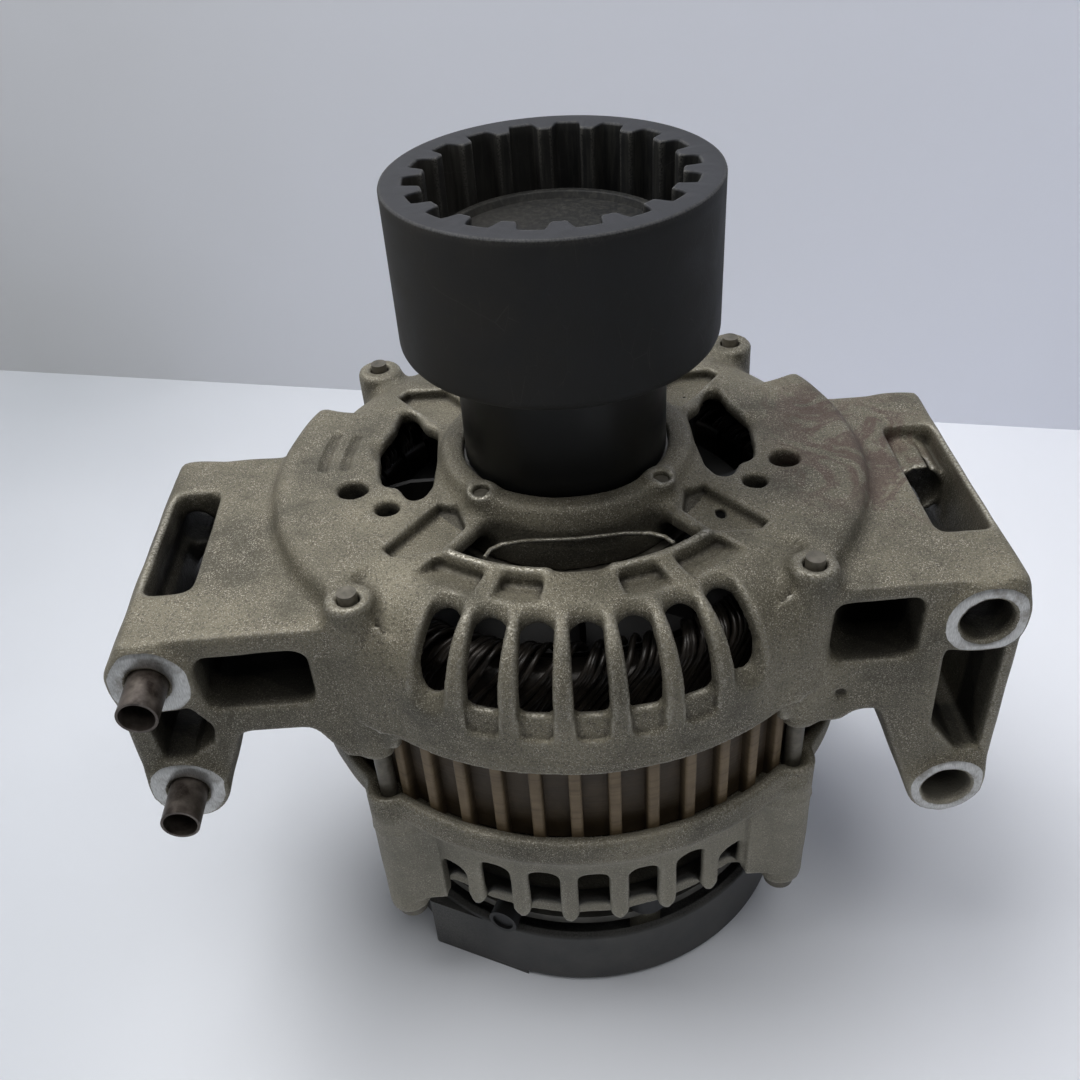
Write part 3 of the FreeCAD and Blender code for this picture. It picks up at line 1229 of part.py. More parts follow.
def case_plug():
    """Round plug against the rim of the positive plate, seen between two fingers of the rear bracket."""
    body = new_body("case_plug")
    face = new_sketch(body, "face", "XZ_Plane", "sink_outer_radius + register_gap", "-plug_turn")
    circle(face, "0", "plug_height", "plug_radius")
    pad(body, "moulded", face, "plug_length")
    face = "sink_outer_radius + register_gap + plug_length"
    dish = new_sketch(body, "dish", "XZ_Plane", face, "-plug_turn")
    circle(dish, "0", "plug_height", "plug_radius - 1.2")
    pocket(body, "dished", dish, "1")


def brushes():
    """Brush holder and regulator in one moulding, its two brushes and their springs."""
    ring_face = "(slip_ring_radius + slip_ring_wall)"
    holder_top = "slip_ring_low + slip_ring_pitch + slip_ring_width + 3"
    body = new_body("brush_holder")
    block = new_sketch(body, "block", "XZ_Plane", "-(" + ring_face + " + 1.2)")
    outline(block, [
        ("-brush_width / 2 - brush_box_wall - 1", "slip_ring_low - 3", "1"),
        ("brush_width / 2 + brush_box_wall + 1", "slip_ring_low - 3", "1"),
        ("brush_width / 2 + brush_box_wall + 1", holder_top, "1"),
        ("-brush_width / 2 - brush_box_wall - 1", holder_top, "1"),
    ])
    pad(body, "block_moulded", block, "brush_box_reach - " + ring_face + " - 1.2", reverse=True)
    channels = new_sketch(body, "channels", "XZ_Plane", "-(" + ring_face + ")")
    for number in range(2):
        middle = "(slip_ring_low + slip_ring_width / 2 + slip_ring_pitch * %d)" % number
        half = "(brush_width / 2 + brush_clearance)"
        tall = "(brush_height / 2 + brush_clearance)"
        outline(channels, [
            ("-" + half, middle + " - " + tall), (half, middle + " - " + tall),
            (half, middle + " + " + tall), ("-" + half, middle + " + " + tall),
        ])
    pocket(body, "channels_cut", channels, "brush_box_reach - brush_box_wall - " + ring_face)
    for number, name in ((0, "low"), (1, "high")):
        middle = "(slip_ring_low + slip_ring_width / 2 + slip_ring_pitch * %d)" % number
        brush = new_body(name + "_brush")
        face = new_sketch(brush, "face", "XZ_Plane", "-(" + ring_face + " + brush_contact_gap)")
        outline(face, [
            ("-brush_width / 2", middle + " - brush_height / 2"),
            ("brush_width / 2", middle + " - brush_height / 2"),
            ("brush_width / 2", middle + " + brush_height / 2"),
            ("-brush_width / 2", middle + " + brush_height / 2"),
        ])
        pad(brush, "pressed", face, "brush_length", reverse=True)
    regulator = new_body("regulator")
    case = new_sketch(regulator, "case", "XY_Plane", "regulator_low")
    outline(case, [
        ("-regulator_width / 2", "brush_box_reach", "2"), ("regulator_width / 2", "brush_box_reach", "2"),
        ("regulator_width / 2", "brush_box_reach + 20", "2"), ("socket_width / 2", "brush_box_reach + 24"),
        ("socket_width / 2", "socket_reach", "1.5"), ("-socket_width / 2", "socket_reach", "1.5"),
        ("-socket_width / 2", "brush_box_reach + 24"), ("-regulator_width / 2", "brush_box_reach + 20", "2"),
    ])
    pad(regulator, "case_moulded", case, "regulator_height")
    mouth = new_sketch(regulator, "socket", "XZ_Plane", "-(socket_reach + 1)")
    outline(mouth, [
        ("-socket_width / 2 + 2", "regulator_low + 2", "1"),
        ("socket_width / 2 - 2", "regulator_low + 2", "1"),
        ("socket_width / 2 - 2", "regulator_low + regulator_height - 2", "1"),
        ("-socket_width / 2 + 2", "regulator_low + regulator_height - 2", "1"),
    ])
    pocket(regulator, "socket_cut", mouth, "socket_depth + 1", reverse=True)
    holes = new_sketch(regulator, "screw_holes", "XY_Plane", "regulator_low - 1")
    for sign in ("-", ""):
        circle(holes, sign + "regulator_post_x", "regulator_post_y", "screw_radius + 0.1")
    pocket(regulator, "screw_holes_cut", holes, "regulator_height + 2", reverse=True)
    for number, name in ((0, "low"), (1, "high")):
        middle = "(slip_ring_low + slip_ring_width / 2 + slip_ring_pitch * %d)" % number
        start = ring_face + " + brush_contact_gap + brush_length"
        length = "brush_box_reach - brush_box_wall - (" + start + ")"
        coil = new_body(name + "_brush_spring")
        round_trip = new_sketch(coil, "round", "XZ_Plane", "-(" + start + ")")
        circle(round_trip, "0", middle, "brush_spring_radius")
        circle(round_trip, "0", middle, "brush_spring_radius - brush_spring_wire")
        pad(coil, "coiled", round_trip, length, reverse=True)


def fasteners():
    """Through-bolts, retainer plate and screws, cover screws, mounting sleeves and the terminal."""
    bolts = new_body("through_bolts")
    shanks = new_sketch(bolts, "shanks", "XY_Plane", "rear_lug_bottom")
    heads = new_sketch(bolts, "heads", "XY_Plane", "rear_lug_bottom")
    bolt_spots(shanks, "bolt_radius", FRONT_BOLTS + BACK_BOLTS)
    bolt_spots(heads, "bolt_head_radius", FRONT_BOLTS + BACK_BOLTS)
    pad(bolts, "shanks_rolled", shanks, "bolt_tip - rear_lug_bottom")
    pad(bolts, "heads_forged", heads, "bolt_head_height", reverse=True)
    seat = "front_bearing_top - front_bearing_width"
    under = seat + " - retainer_thickness"
    plate = ring("bearing_retainer", "front_bearing_radius - 4", "retainer_radius", under, seat)
    holes = new_sketch(plate, "holes", "XY_Plane", seat + " + 1")
    spots(holes, "screw_circle", "screw_radius + 0.1", SIZES["retainer_screws"], "45", "90")
    pocket(plate, "holes_cut", holes, "retainer_thickness + 2")
    screws = new_body("retainer_screws")
    shanks = new_sketch(screws, "shanks", "XY_Plane", seat + " - retainer_thickness")
    spots(shanks, "screw_circle", "screw_radius", SIZES["retainer_screws"], "45", "90")
    shank = "screw_tip - front_bearing_top + front_bearing_width + retainer_thickness"
    pad(screws, "shanks_rolled", shanks, shank)
    heads = new_sketch(screws, "heads", "XY_Plane", seat + " - retainer_thickness")
    spots(heads, "screw_circle", "screw_head_radius", SIZES["retainer_screws"], "45", "90")
    pad(screws, "heads_forged", heads, "screw_head_height", reverse=True)
    cover_screws = new_body("cover_screws")
    head_seat = "cover_screw_head_height + 0.3"
    shanks = new_sketch(cover_screws, "shanks", "XY_Plane", head_seat)
    spots(shanks, "post_circle", "cover_screw_radius", SIZES["posts"], "post_turn", "360 / posts")
    pad(cover_screws, "shanks_rolled", shanks, "12")
    heads = new_sketch(cover_screws, "heads", "XY_Plane", head_seat)
    spots(heads, "post_circle", "cover_screw_head", SIZES["posts"], "post_turn", "360 / posts")
    pad(cover_screws, "heads_forged", heads, "cover_screw_head_height", reverse=True)
    regulator_screws = new_body("regulator_screws")
    shanks = new_sketch(regulator_screws, "shanks", "XY_Plane", "regulator_low")
    heads = new_sketch(regulator_screws, "heads", "XY_Plane", "regulator_low")
    for sign in ("-", ""):
        circle(shanks, sign + "regulator_post_x", "regulator_post_y", "screw_radius")
        circle(heads, sign + "regulator_post_x", "regulator_post_y", "screw_head_radius")
    pad(regulator_screws, "shanks_rolled", shanks, "regulator_height + 8")
    pad(regulator_screws, "heads_forged", heads, "screw_head_height", reverse=True)
    sleeves = new_body("mounting_sleeves")
    tubes = new_sketch(sleeves, "tubes", "XZ_Plane", "boss_front + sleeve_reach")
    for height in ("upper_boss_height", "left_low_height"):
        circle(tubes, "-left_boss_x", height, "left_bore_radius")
        circle(tubes, "-left_boss_x", height, "left_bore_radius - sleeve_wall")
    pad(sleeves, "tubes_rolled", tubes, "pin_sleeve_length", reverse=True)


def terminal():
    """Output terminal: a stud that stands out radially from the positive plate, with its nut."""
    sink_top = "(rear_floor - sink_thickness - sink_gap)"
    level = sink_top + " + terminal_head_height / 2"
    outward = FreeCAD.Rotation(FreeCAD.Vector(0, 0, 1), value("terminal_turn - 90"))
    radial = outward.multiply(FreeCAD.Rotation(FreeCAD.Vector(0, 1, 0), 90))

    def placed(kind, name, distance, rotation):
        piece = doc.addObject(kind, name)
        piece.Placement = FreeCAD.Placement(FreeCAD.Vector(), rotation)
        piece.setExpression("Placement.Base.x", bound("(%s) * sin(terminal_turn)" % distance))
        piece.setExpression("Placement.Base.y", bound("-(%s) * cos(terminal_turn)" % distance))
        piece.setExpression("Placement.Base.z", bound(level))
        return piece

    head = placed("Part::Prism", "terminal_head", "terminal_start", radial)
    head.Polygon = 4
    head.setExpression("Circumradius", bound("terminal_head_height / 2 / cos(45)"))
    head.setExpression("Height", bound("terminal_head_length"))
    head.Placement = FreeCAD.Placement(head.Placement.Base, radial.multiply(
        FreeCAD.Rotation(FreeCAD.Vector(0, 0, 1), 45)))
    shank = placed("Part::Cylinder", "terminal_shank", "terminal_start + 1", radial)
    shank.setExpression("Radius", bound("terminal_radius"))
    shank.setExpression("Height", bound("terminal_nut_start + terminal_nut_height - terminal_start - 1"))
    end = placed("Part::Cylinder", "terminal_end", "terminal_nut_start", radial)
    end.setExpression("Radius", bound("terminal_end_radius"))
    end.setExpression("Height", bound("terminal_reach - terminal_nut_start"))
    stud = doc.addObject("Part::MultiFuse", "terminal_stud")
    stud.Label = "terminal_stud"
    stud.Shapes = [head, shank, end]
    nut = placed("Part::Prism", "terminal_nut_hexagon", "terminal_nut_start", radial)
    nut.Polygon = 6
    nut.setExpression("Circumradius", bound("terminal_nut_flats / 2 / cos(30)"))
    nut.setExpression("Height", bound("terminal_nut_height"))
    bore = placed("Part::Cylinder", "terminal_nut_bore", "terminal_nut_start - 1", radial)
    bore.setExpression("Radius", bound("terminal_radius"))
    bore.setExpression("Height", bound("terminal_nut_height + 2"))
    cut = doc.addObject("Part::Cut", "terminal_nut")
    cut.Label = "terminal_nut"
    cut.Base = nut
    cut.Tool = bore


drive_end_bracket()
arms()
slip_ring_end_bracket()
rear_cover()
stator()
bearing("front", "(front_bearing_top - front_bearing_width)")
bearing("rear", "rear_bearing_bottom")
shaft()
coupling()
rotor()
electrics()
case_plug()
brushes()
fasteners()
terminal()
doc.recompute()
failed = [entry.Name for entry in doc.Objects if "Invalid" in entry.State or "Error" in entry.State]
if failed:
    raise SystemExit("These objects failed: " + ", ".join(failed))
pieces = ("PartDesign::Body", "Part::Compound", "Part::Cut", "Part::MultiFuse")
held = {part.Name for entry in doc.Objects if entry.TypeId == "Part::Compound" for part in entry.Links}
nodes = [entry for entry in doc.Objects if entry.TypeId in pieces and entry.Name not in held]
for node in nodes:
    if node.Shape.isNull() or not node.Shape.isValid():
        raise SystemExit(node.Label + " has no valid shape")
os.makedirs("parts", exist_ok=True)
for node in nodes:
    node.Shape.exportStep("parts/%s.step" % node.Label)
    print(node.Label, len(node.Shape.Solids), round(node.Shape.Volume), len(node.Shape.Faces))
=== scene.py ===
"""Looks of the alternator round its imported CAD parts: skins, windings, materials, floor, light and camera."""

import json
import math
import random

import bpy
import numpy
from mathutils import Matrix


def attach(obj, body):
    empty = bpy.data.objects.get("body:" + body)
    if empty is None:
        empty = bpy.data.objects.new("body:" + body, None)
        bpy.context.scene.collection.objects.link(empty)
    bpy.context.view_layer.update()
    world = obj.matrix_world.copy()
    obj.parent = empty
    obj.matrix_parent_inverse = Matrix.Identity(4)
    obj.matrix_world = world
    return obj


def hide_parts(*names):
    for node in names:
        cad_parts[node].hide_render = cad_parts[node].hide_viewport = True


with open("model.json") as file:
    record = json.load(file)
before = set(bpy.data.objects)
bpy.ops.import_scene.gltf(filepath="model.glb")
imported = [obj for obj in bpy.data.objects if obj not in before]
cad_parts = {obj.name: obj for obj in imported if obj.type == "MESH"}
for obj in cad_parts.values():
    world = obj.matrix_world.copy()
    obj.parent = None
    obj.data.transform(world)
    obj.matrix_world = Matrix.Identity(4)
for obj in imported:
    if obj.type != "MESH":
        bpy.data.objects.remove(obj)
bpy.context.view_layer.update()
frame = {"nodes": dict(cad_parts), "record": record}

import openvdb
from mathutils import Matrix, Vector

MM = 0.001
NODES = frame["nodes"]


# Colours

def linear(channel):
    """One sRGB channel from 0 to 255 as a linear value."""
    share = channel / 255
    return share / 12.92 if share <= 0.04045 else ((share + 0.055) / 1.055) ** 2.4


def rgb(red, green, blue):
    return (linear(red), linear(green), linear(blue), 1.0)


# Node graphs

class Graph:
    """A material's node tree, built up by short calls that return sockets."""

    def __init__(self, name):
        self.material = bpy.data.materials.new(name)
        self.material.use_nodes = True
        self.tree = self.material.node_tree
        self.tree.nodes.clear()
        self.place = self.add("ShaderNodeTexCoord").outputs["Object"]
        self.x, self.y, self.z = self.parts(self.place)

    def add(self, kind, **settings):
        node = self.tree.nodes.new(kind)
        for name, setting in settings.items():
            setattr(node, name, setting)
        return node

    def feed(self, socket, source):
        if isinstance(source, bpy.types.NodeSocket):
            self.tree.links.new(source, socket)
        else:
            socket.default_value = source

    def parts(self, vector):
        node = self.add("ShaderNodeSeparateXYZ")
        self.feed(node.inputs[0], vector)
        return node.outputs

    def join(self, x, y, z):
        node = self.add("ShaderNodeCombineXYZ")
        for socket, source in zip(node.inputs, (x, y, z)):
            self.feed(socket, source)
        return node.outputs[0]

    def compute(self, operation, *values):
        node = self.add("ShaderNodeMath", operation=operation)
        for socket, source in zip(node.inputs, values):
            self.feed(socket, source)
        return node.outputs[0]

    def noise(self, size, detail=3.0, rough=0.55, warp=0.0, vector=None):
        """Noise with features about size millimetres wide."""
        node = self.add("ShaderNodeTexNoise")
        self.feed(node.inputs["Vector"], vector or self.place)
        node.inputs["Scale"].default_value = 1 / (size * MM)
        node.inputs["Detail"].default_value = detail
        node.inputs["Roughness"].default_value = rough
        node.inputs["Distortion"].default_value = warp
        return node.outputs["Fac"]

    def cracks(self, size, vector):
        """Distance from the borders of cells about size millimetres wide."""
        node = self.add("ShaderNodeTexVoronoi", feature="DISTANCE_TO_EDGE")
        self.feed(node.inputs["Vector"], vector)
        node.inputs["Scale"].default_value = 1 / (size * MM)
        return node.outputs["Distance"]

    def span(self, value, low, high, start=0.0, end=1.0):
        """value between low and high, mapped to start and end and clamped."""
        node = self.add("ShaderNodeMapRange")
        for socket, source in zip(node.inputs, (value, low, high, start, end)):
            self.feed(socket, source)
        return node.outputs[0]

    def within(self, value, limits, soft):
        """1 where value lies within the two limits, with soft edges."""
        low, high = limits
        rise = self.span(value, low - soft, low + soft)
        fall = self.span(value, high - soft, high + soft, 1.0, 0.0)
        return self.times(rise, fall)

    def between(self, length, limits, soft):
        """1 where a length lies within two limits in millimetres, with soft edges."""
        low, high = limits
        return self.within(length, (low * MM, high * MM), soft * MM)

    def times(self, *values):
        result = values[0]
        for value in values[1:]:
            result = self.compute("MULTIPLY", result, value)
        return result

    def above(self, value, limit):
        return self.compute("GREATER_THAN", value, limit)

    def below(self, value, limit):
        return self.compute("LESS_THAN", value, limit)

    def blend(self, share, first, second):
        node = self.add("ShaderNodeMix", data_type="RGBA", blend_type="MIX")
        self.feed(node.inputs[0], share)
        self.feed(node.inputs[6], first)
        self.feed(node.inputs[7], second)
        return node.outputs[2]

    def radius(self):
        """Distance from the rotor's axis."""
        squares = self.compute("ADD", self.times(self.x, self.x), self.times(self.y, self.y))
        return self.compute("SQRT", squares)

    def edge(self, low, high):
        """1 on worn convex edges, from the mesh's pointiness; with low above high, 1 in concave creases
        instead.
        """
        pointy = self.add("ShaderNodeNewGeometry").outputs["Pointiness"]
        return self.span(pointy, low, high)

    def facing(self):
        """The surface's direction in the object's own axes."""
        return self.parts(self.add("ShaderNodeTexCoord").outputs["Normal"])

    def bump(self, height, depth, strength=1.0, under=None):
        """Bump whose full height is depth millimetres, laid over the one under it if there is one."""
        node = self.add("ShaderNodeBump")
        self.feed(node.inputs["Strength"], strength)
        node.inputs["Distance"].default_value = depth * MM
        self.feed(node.inputs["Height"], height)
        if under is not None:
            self.feed(node.inputs["Normal"], under)
        return node.outputs[0]

    def finish(self, colour, rough, metal=0.0, normal=None, shine=0.5):
        shader = self.add("ShaderNodeBsdfPrincipled")
        self.feed(shader.inputs["Base Color"], colour)
        self.feed(shader.inputs["Roughness"], rough)
        self.feed(shader.inputs["Metallic"], metal)
        shader.inputs["Specular IOR Level"].default_value = shine
        if normal is not None:
            self.feed(shader.inputs["Normal"], normal)
        output = self.add("ShaderNodeOutputMaterial")
        self.tree.links.new(shader.outputs[0], output.inputs[0])
        return self.material


# Materials, with the places where a finish differs in millimetres

REAR_LIGHT_FADE = (84, 80)
HUB_SHADE_RADIUS, HUB_SHADE_FADE = 42, (158, 161.5)
WELL_ACROSS, WELL_ALONG, WELL_SOFT = (93, 111), (-44, 13), 1
REAR_SHADE_FADE, REAR_SHADE_HEIGHTS = (73.6, 75), (44, 78)
STAIN_ACROSS, STAIN_ALONG, STAIN_SOFT, STAIN_ABOVE = (62, 104), (-34, 26), 9, 148
BOSS_FACE, BOSS_FACE_OUTBOARD = -63.3, 88
CUP_INSIDE, CUP_RIM = 38, 241.4
LIT_SIDE_FADE = (10, -40)
RIB_FADE = (77.6, 79.3)


def casting_painted_light_and_dirt(g, colour):
    """Painted light and dirt on the casting: painted shade and dirt in hollows, less of it in the right arm's
    well, painted shade on the hub's wall and inside the rear casting, and the rear casting painted paler as
    painted light.
    """
    hollow_shade_and_dirt = g.add("ShaderNodeAttribute", attribute_name="hollow_shade_and_dirt").outputs["Fac"]
    well = g.times(g.between(g.x, WELL_ACROSS, WELL_SOFT), g.between(g.y, WELL_ALONG, WELL_SOFT))
    # Painted shade and dirt in hollows, from how shut in each point is; less of it in the right arm's well.
    shade_and_dirt = g.times(g.span(hollow_shade_and_dirt, 0.2, 0.88, 0, 0.97), g.span(well, 0, 1, 1, 0.45))
    colour = g.blend(shade_and_dirt, colour, rgb(14, 13, 11))
    # Painted light: the rear casting, below about 80 mm, painted paler.
    rear_light = g.span(g.z, REAR_LIGHT_FADE[0] * MM, REAR_LIGHT_FADE[1] * MM, 0, 0.3)
    colour = g.blend(rear_light, colour, rgb(170, 166, 152))
    # Painted shade on the hub's wall in the front window.
    low, high = HUB_SHADE_FADE
    hub_shade = g.times(g.below(g.radius(), HUB_SHADE_RADIUS * MM), g.span(g.z, low * MM, high * MM, 0.55, 0))
    colour = g.blend(hub_shade, colour, rgb(30, 28, 23))
    # Painted shade inside the rear casting, behind its fingers.
    low, high = REAR_SHADE_FADE
    inside = g.times(g.span(g.radius(), low * MM, high * MM, 0.9, 0), g.between(g.z, REAR_SHADE_HEIGHTS, 1))
    return g.blend(inside, colour, rgb(12, 11, 10))


def cast_aluminium():
    """Weathered casting: brown-grey, grainy, bright where rubbed, with turned faces on the bosses."""
    g = Graph("cast_aluminium")
    broad = g.noise(28, 3, 0.6)
    patch = g.noise(7, 4, 0.65)
    grain = g.noise(0.7, 2, 0.6)
    fine = g.noise(0.32, 1, 0.5)
    colour = g.blend(g.span(broad, 0.35, 0.65), rgb(86, 82, 69), rgb(130, 124, 106))
    colour = g.blend(g.span(patch, 0.42, 0.7, 0, 0.5), colour, rgb(88, 81, 68))
    colour = g.blend(g.span(grain, 0.48, 0.72, 0, 0.75), colour, rgb(58, 53, 44))
    sparkle = g.times(g.span(fine, 0.56, 0.68), g.span(patch, 0.35, 0.65, 0.25, 0.75))
    colour = g.blend(sparkle, colour, rgb(196, 191, 176))
    rubbed = g.times(g.edge(0.515, 0.56), g.span(grain, 0.4, 0.6))
    colour = g.blend(g.times(rubbed, 0.75), colour, rgb(190, 186, 174))
    # Painted shade in concave creases.
    colour = g.blend(g.times(g.edge(0.49, 0.44), 0.75), colour, rgb(48, 43, 35))
    # Painted shade, painted light and dirt from the casting's shape.
    colour = casting_painted_light_and_dirt(g, colour)
    stain = g.times(g.between(g.x, STAIN_ACROSS, STAIN_SOFT), g.between(g.y, STAIN_ALONG, STAIN_SOFT),
                    g.within(g.noise(16, 4, 0.6, 1.2), (0.47, 0.6), 0.03), g.above(g.z, STAIN_ABOVE * MM))
    colour = g.blend(g.times(stain, 0.55), colour, rgb(78, 52, 48))
    outboard = g.above(g.compute("ABSOLUTE", g.x), BOSS_FACE_OUTBOARD * MM)
    machined = g.times(g.below(g.facing()[1], -0.9), g.below(g.y, BOSS_FACE * MM), outboard)
    turned = g.noise(0.25, 2, 0.5, vector=g.join(g.x, 0.0, g.times(g.z, 0.15)))
    silver = g.blend(g.span(turned, 0.3, 0.7), rgb(158, 158, 155), rgb(196, 196, 194))
    silver = g.blend(g.span(patch, 0.5, 0.66, 0, 0.75), silver, rgb(116, 112, 104))
    colour = g.blend(machined, colour, silver)
    smooth = g.compute("MAXIMUM", rubbed, machined)
    rough = g.blend(smooth, (0.62, 0.62, 0.62, 1), (0.38, 0.38, 0.38, 1))
    metal = g.compute("ADD", 0.35, g.times(0.5, smooth))
    grainy = g.bump(grain, 0.22, g.span(machined, 0, 1, 1.0, 0.05))
    return g.finish(colour, rough, metal, g.bump(patch, 0.6, 0.6, grainy))


def plain(name, dark, light, size, rough, metal=0.0, depth=0.03, wear=None, shine=0.5):
    """A mottled finish with grain, for moulded, plated and turned pieces."""
    g = Graph(name)
    broad = g.noise(size, 4, 0.6)
    fine = g.noise(0.6, 2, 0.55)
    colour = g.blend(g.span(broad, 0.32, 0.68), dark, light)
    colour = g.blend(g.span(fine, 0.55, 0.75, 0, 0.25), colour, light)
    if wear is not None:
        rubbed = g.times(g.edge(0.51, 0.56), g.span(fine, 0.35, 0.6))
        colour = g.blend(g.times(rubbed, 0.7), colour, wear)
    roughness = g.span(broad, 0.3, 0.7, rough - 0.06, rough + 0.08)
    return g.finish(colour, roughness, metal, g.bump(fine, depth), shine)


def coupling_steel():
    """Phosphated steel: near black, painted lighter brown on its left side as painted light, a painted bluish
    highlight on the rim, worn on the teeth.
    """
    g = Graph("coupling_steel")
    cloud = g.noise(14, 5, 0.62, 0.6)
    grain = g.noise(0.5, 2, 0.6)
    colour = g.blend(g.span(cloud, 0.35, 0.68), rgb(14, 15, 16), rgb(24, 24, 23))
    # Painted light: the left side of the cup painted lighter brown.
    left = g.span(g.x, LIT_SIDE_FADE[0] * MM, LIT_SIDE_FADE[1] * MM, 0, 0.75)
    colour = g.blend(g.times(left, g.span(cloud, 0.3, 0.6, 0.5, 1)), colour, rgb(45, 42, 37))
    streak = g.noise(1.4, 3, 0.6, vector=g.join(g.x, g.y, g.times(g.z, 0.08)))
    inner = g.below(g.radius(), CUP_INSIDE * MM)
    colour = g.blend(g.times(inner, g.span(streak, 0.45, 0.7, 0, 0.6)), colour, rgb(56, 55, 50))
    # Painted highlight: the rim's top face painted paler and bluish.
    rim_highlight = g.above(g.z, CUP_RIM * MM)
    colour = g.blend(g.times(rim_highlight, 0.85), colour, rgb(48, 49, 53))
    worn = g.times(g.edge(0.52, 0.6), g.span(grain, 0.35, 0.6))
    colour = g.blend(g.times(worn, 0.8), colour, rgb(120, 118, 112))
    cracks = g.cracks(5, g.join(g.x, g.times(g.y, 0.5), g.times(g.z, 0.4)))
    scratch = g.times(g.span(cracks, 0.0, 0.012, 1, 0), g.span(cloud, 0.5, 0.6, 0, 0.35))
    colour = g.blend(scratch, colour, rgb(62, 60, 58))
    return g.finish(colour, g.span(cloud, 0.3, 0.7, 0.6, 0.75), 0.0, g.bump(grain, 0.03), 0.35)


def laminations():
    """Varnished core: lighter on its outermost ribs, dark brown lower down in the grooves."""
    g = Graph("laminations")
    broad = g.noise(9, 4, 0.6)
    sheets = g.noise(0.9, 2, 0.5, vector=g.join(g.times(g.x, 0.05), g.times(g.y, 0.05), g.z))
    rib = g.span(g.radius(), RIB_FADE[0] * MM, RIB_FADE[1] * MM)
    colour = g.blend(rib, rgb(60, 48, 31), rgb(118, 101, 76))
    colour = g.blend(g.span(broad, 0.42, 0.7, 0, 0.6), colour, rgb(84, 70, 50))
    colour = g.blend(g.span(sheets, 0.5, 0.7, 0, 0.35), colour, rgb(56, 46, 32))
    return g.finish(colour, 0.62, 0.15, g.bump(sheets, 0.12))


# Each plain finish: dark and light colour, size of its mottling, roughness, metal
PLAIN = {
    "winding": (rgb(22, 20, 18), rgb(52, 46, 40), 5, 0.35, 0.4),
    "bearing_steel": (rgb(120, 118, 112), rgb(150, 148, 142), 8, 0.4, 0.8),
    "cage_plastic": (rgb(70, 62, 46), rgb(92, 82, 62), 6, 0.5),
    "plated_steel": (rgb(82, 78, 69), rgb(118, 113, 102), 3, 0.5, 0.5),
    "rusty_sleeve": (rgb(50, 42, 37), rgb(112, 104, 97), 5, 0.42, 0.6),
    "heat_sink": (rgb(84, 82, 77), rgb(112, 110, 104), 10, 0.5, 0.5),
    "diode": (rgb(122, 112, 96), rgb(160, 150, 132), 3, 0.4, 0.8),
    "black_plastic": (rgb(14, 14, 15), rgb(24, 24, 25), 8, 0.5),
    "carbon": (rgb(36, 34, 33), rgb(58, 50, 44), 2, 0.6, 0.2),
    "shaft_steel": (rgb(120, 118, 112), rgb(165, 162, 156), 6, 0.4, 0.9),
    # Near black: painted shade for the dark inside of the housing.
    "claw_iron": (rgb(24, 23, 22), rgb(42, 40, 38), 6, 0.55, 0.3),
    "bobbin_plastic": (rgb(168, 158, 130), rgb(190, 180, 152), 8, 0.5),
    # Near black: painted shade for the dark inside of the housing, where the fan is seen through the slots.
    "fan_steel": (rgb(13, 12, 12), rgb(22, 21, 20), 8, 0.6, 0.1),
    "slip_ring_copper": (rgb(150, 92, 62), rgb(188, 122, 86), 5, 0.3, 0.9),
}
MATERIALS = {name: plain(name, *finish) for name, finish in PLAIN.items()}
MATERIALS["cast_aluminium"] = cast_aluminium()
MATERIALS["coupling_steel"] = coupling_steel()
MATERIALS["laminations"] = laminations()
MATERIALS["cover_plastic"] = plain("cover_plastic", rgb(52, 52, 52), rgb(76, 75, 73), 14, 0.6,
                                   depth=0.05, wear=rgb(96, 95, 92))
MATERIALS["black_sleeve"] = plain("black_sleeve", rgb(5, 6, 6), rgb(8, 9, 9), 12, 0.42, depth=0.0, shine=0.35)

for row in frame["record"]["subparts"]:
    data = NODES[row["node"]].data
    data.materials.clear()
    data.materials.append(MATERIALS[row["material_slot"]])


def place_piece(name, mesh):
    """A new object for a mesh, linked to the scene."""
    piece = bpy.data.objects.new(name, mesh)
    bpy.context.scene.collection.objects.link(piece)
    return piece


def dress(piece, slot):
    """Give a piece the material of one of the record's slots."""
    piece.data.materials.clear()
    piece.data.materials.append(MATERIALS[slot])


# Level sets in millimetres: a field of distances is negative inside the solid

VOXEL = 0.9
SKIN_REACH = 2
GRID_MARGIN = 3


def soup(nodes):
    """The points in millimetres and the triangles of several CAD nodes together."""
    points, faces, start = [], [], 0
    for name in nodes:
        mesh = NODES[name].data
        mesh.calc_loop_triangles()
        place = numpy.empty(len(mesh.vertices) * 3, numpy.float32)
        mesh.vertices.foreach_get("co", place)
        corners = numpy.empty(len(mesh.loop_triangles) * 3, numpy.int32)
        mesh.loop_triangles.foreach_get("vertices", corners)
        world = numpy.array(NODES[name].matrix_world, numpy.float32)
        points.append((place.reshape(-1, 3) @ world[:3, :3].T + world[:3, 3]) / MM)
        faces.append(corners.reshape(-1, 3) + start)
        start += len(mesh.vertices)
    return numpy.concatenate(points).astype(numpy.float32), numpy.concatenate(faces).astype(numpy.uint32)


def distances(points, faces, reach):
    """Level set of closed surfaces that holds distances out to reach millimetres."""
    kind = "triangles" if faces.shape[1] == 3 else "quads"
    transform = openvdb.createLinearTransform(voxelSize=VOXEL)
    return openvdb.FloatGrid.createLevelSetFromPolygons(
        points, transform=transform, halfWidth=reach / VOXEL + GRID_MARGIN, **{kind: faces})


def offset(points, faces, distance):
    """The surface a distance outside closed surfaces, or inside them where it is negative."""
    return distances(points, faces, abs(distance)).convertToQuads(isovalue=distance)


def smooth_union(first, second, width):
    share = numpy.maximum(width - numpy.abs(first - second), 0) / width
    return numpy.minimum(first, second) - share * share * width / 4


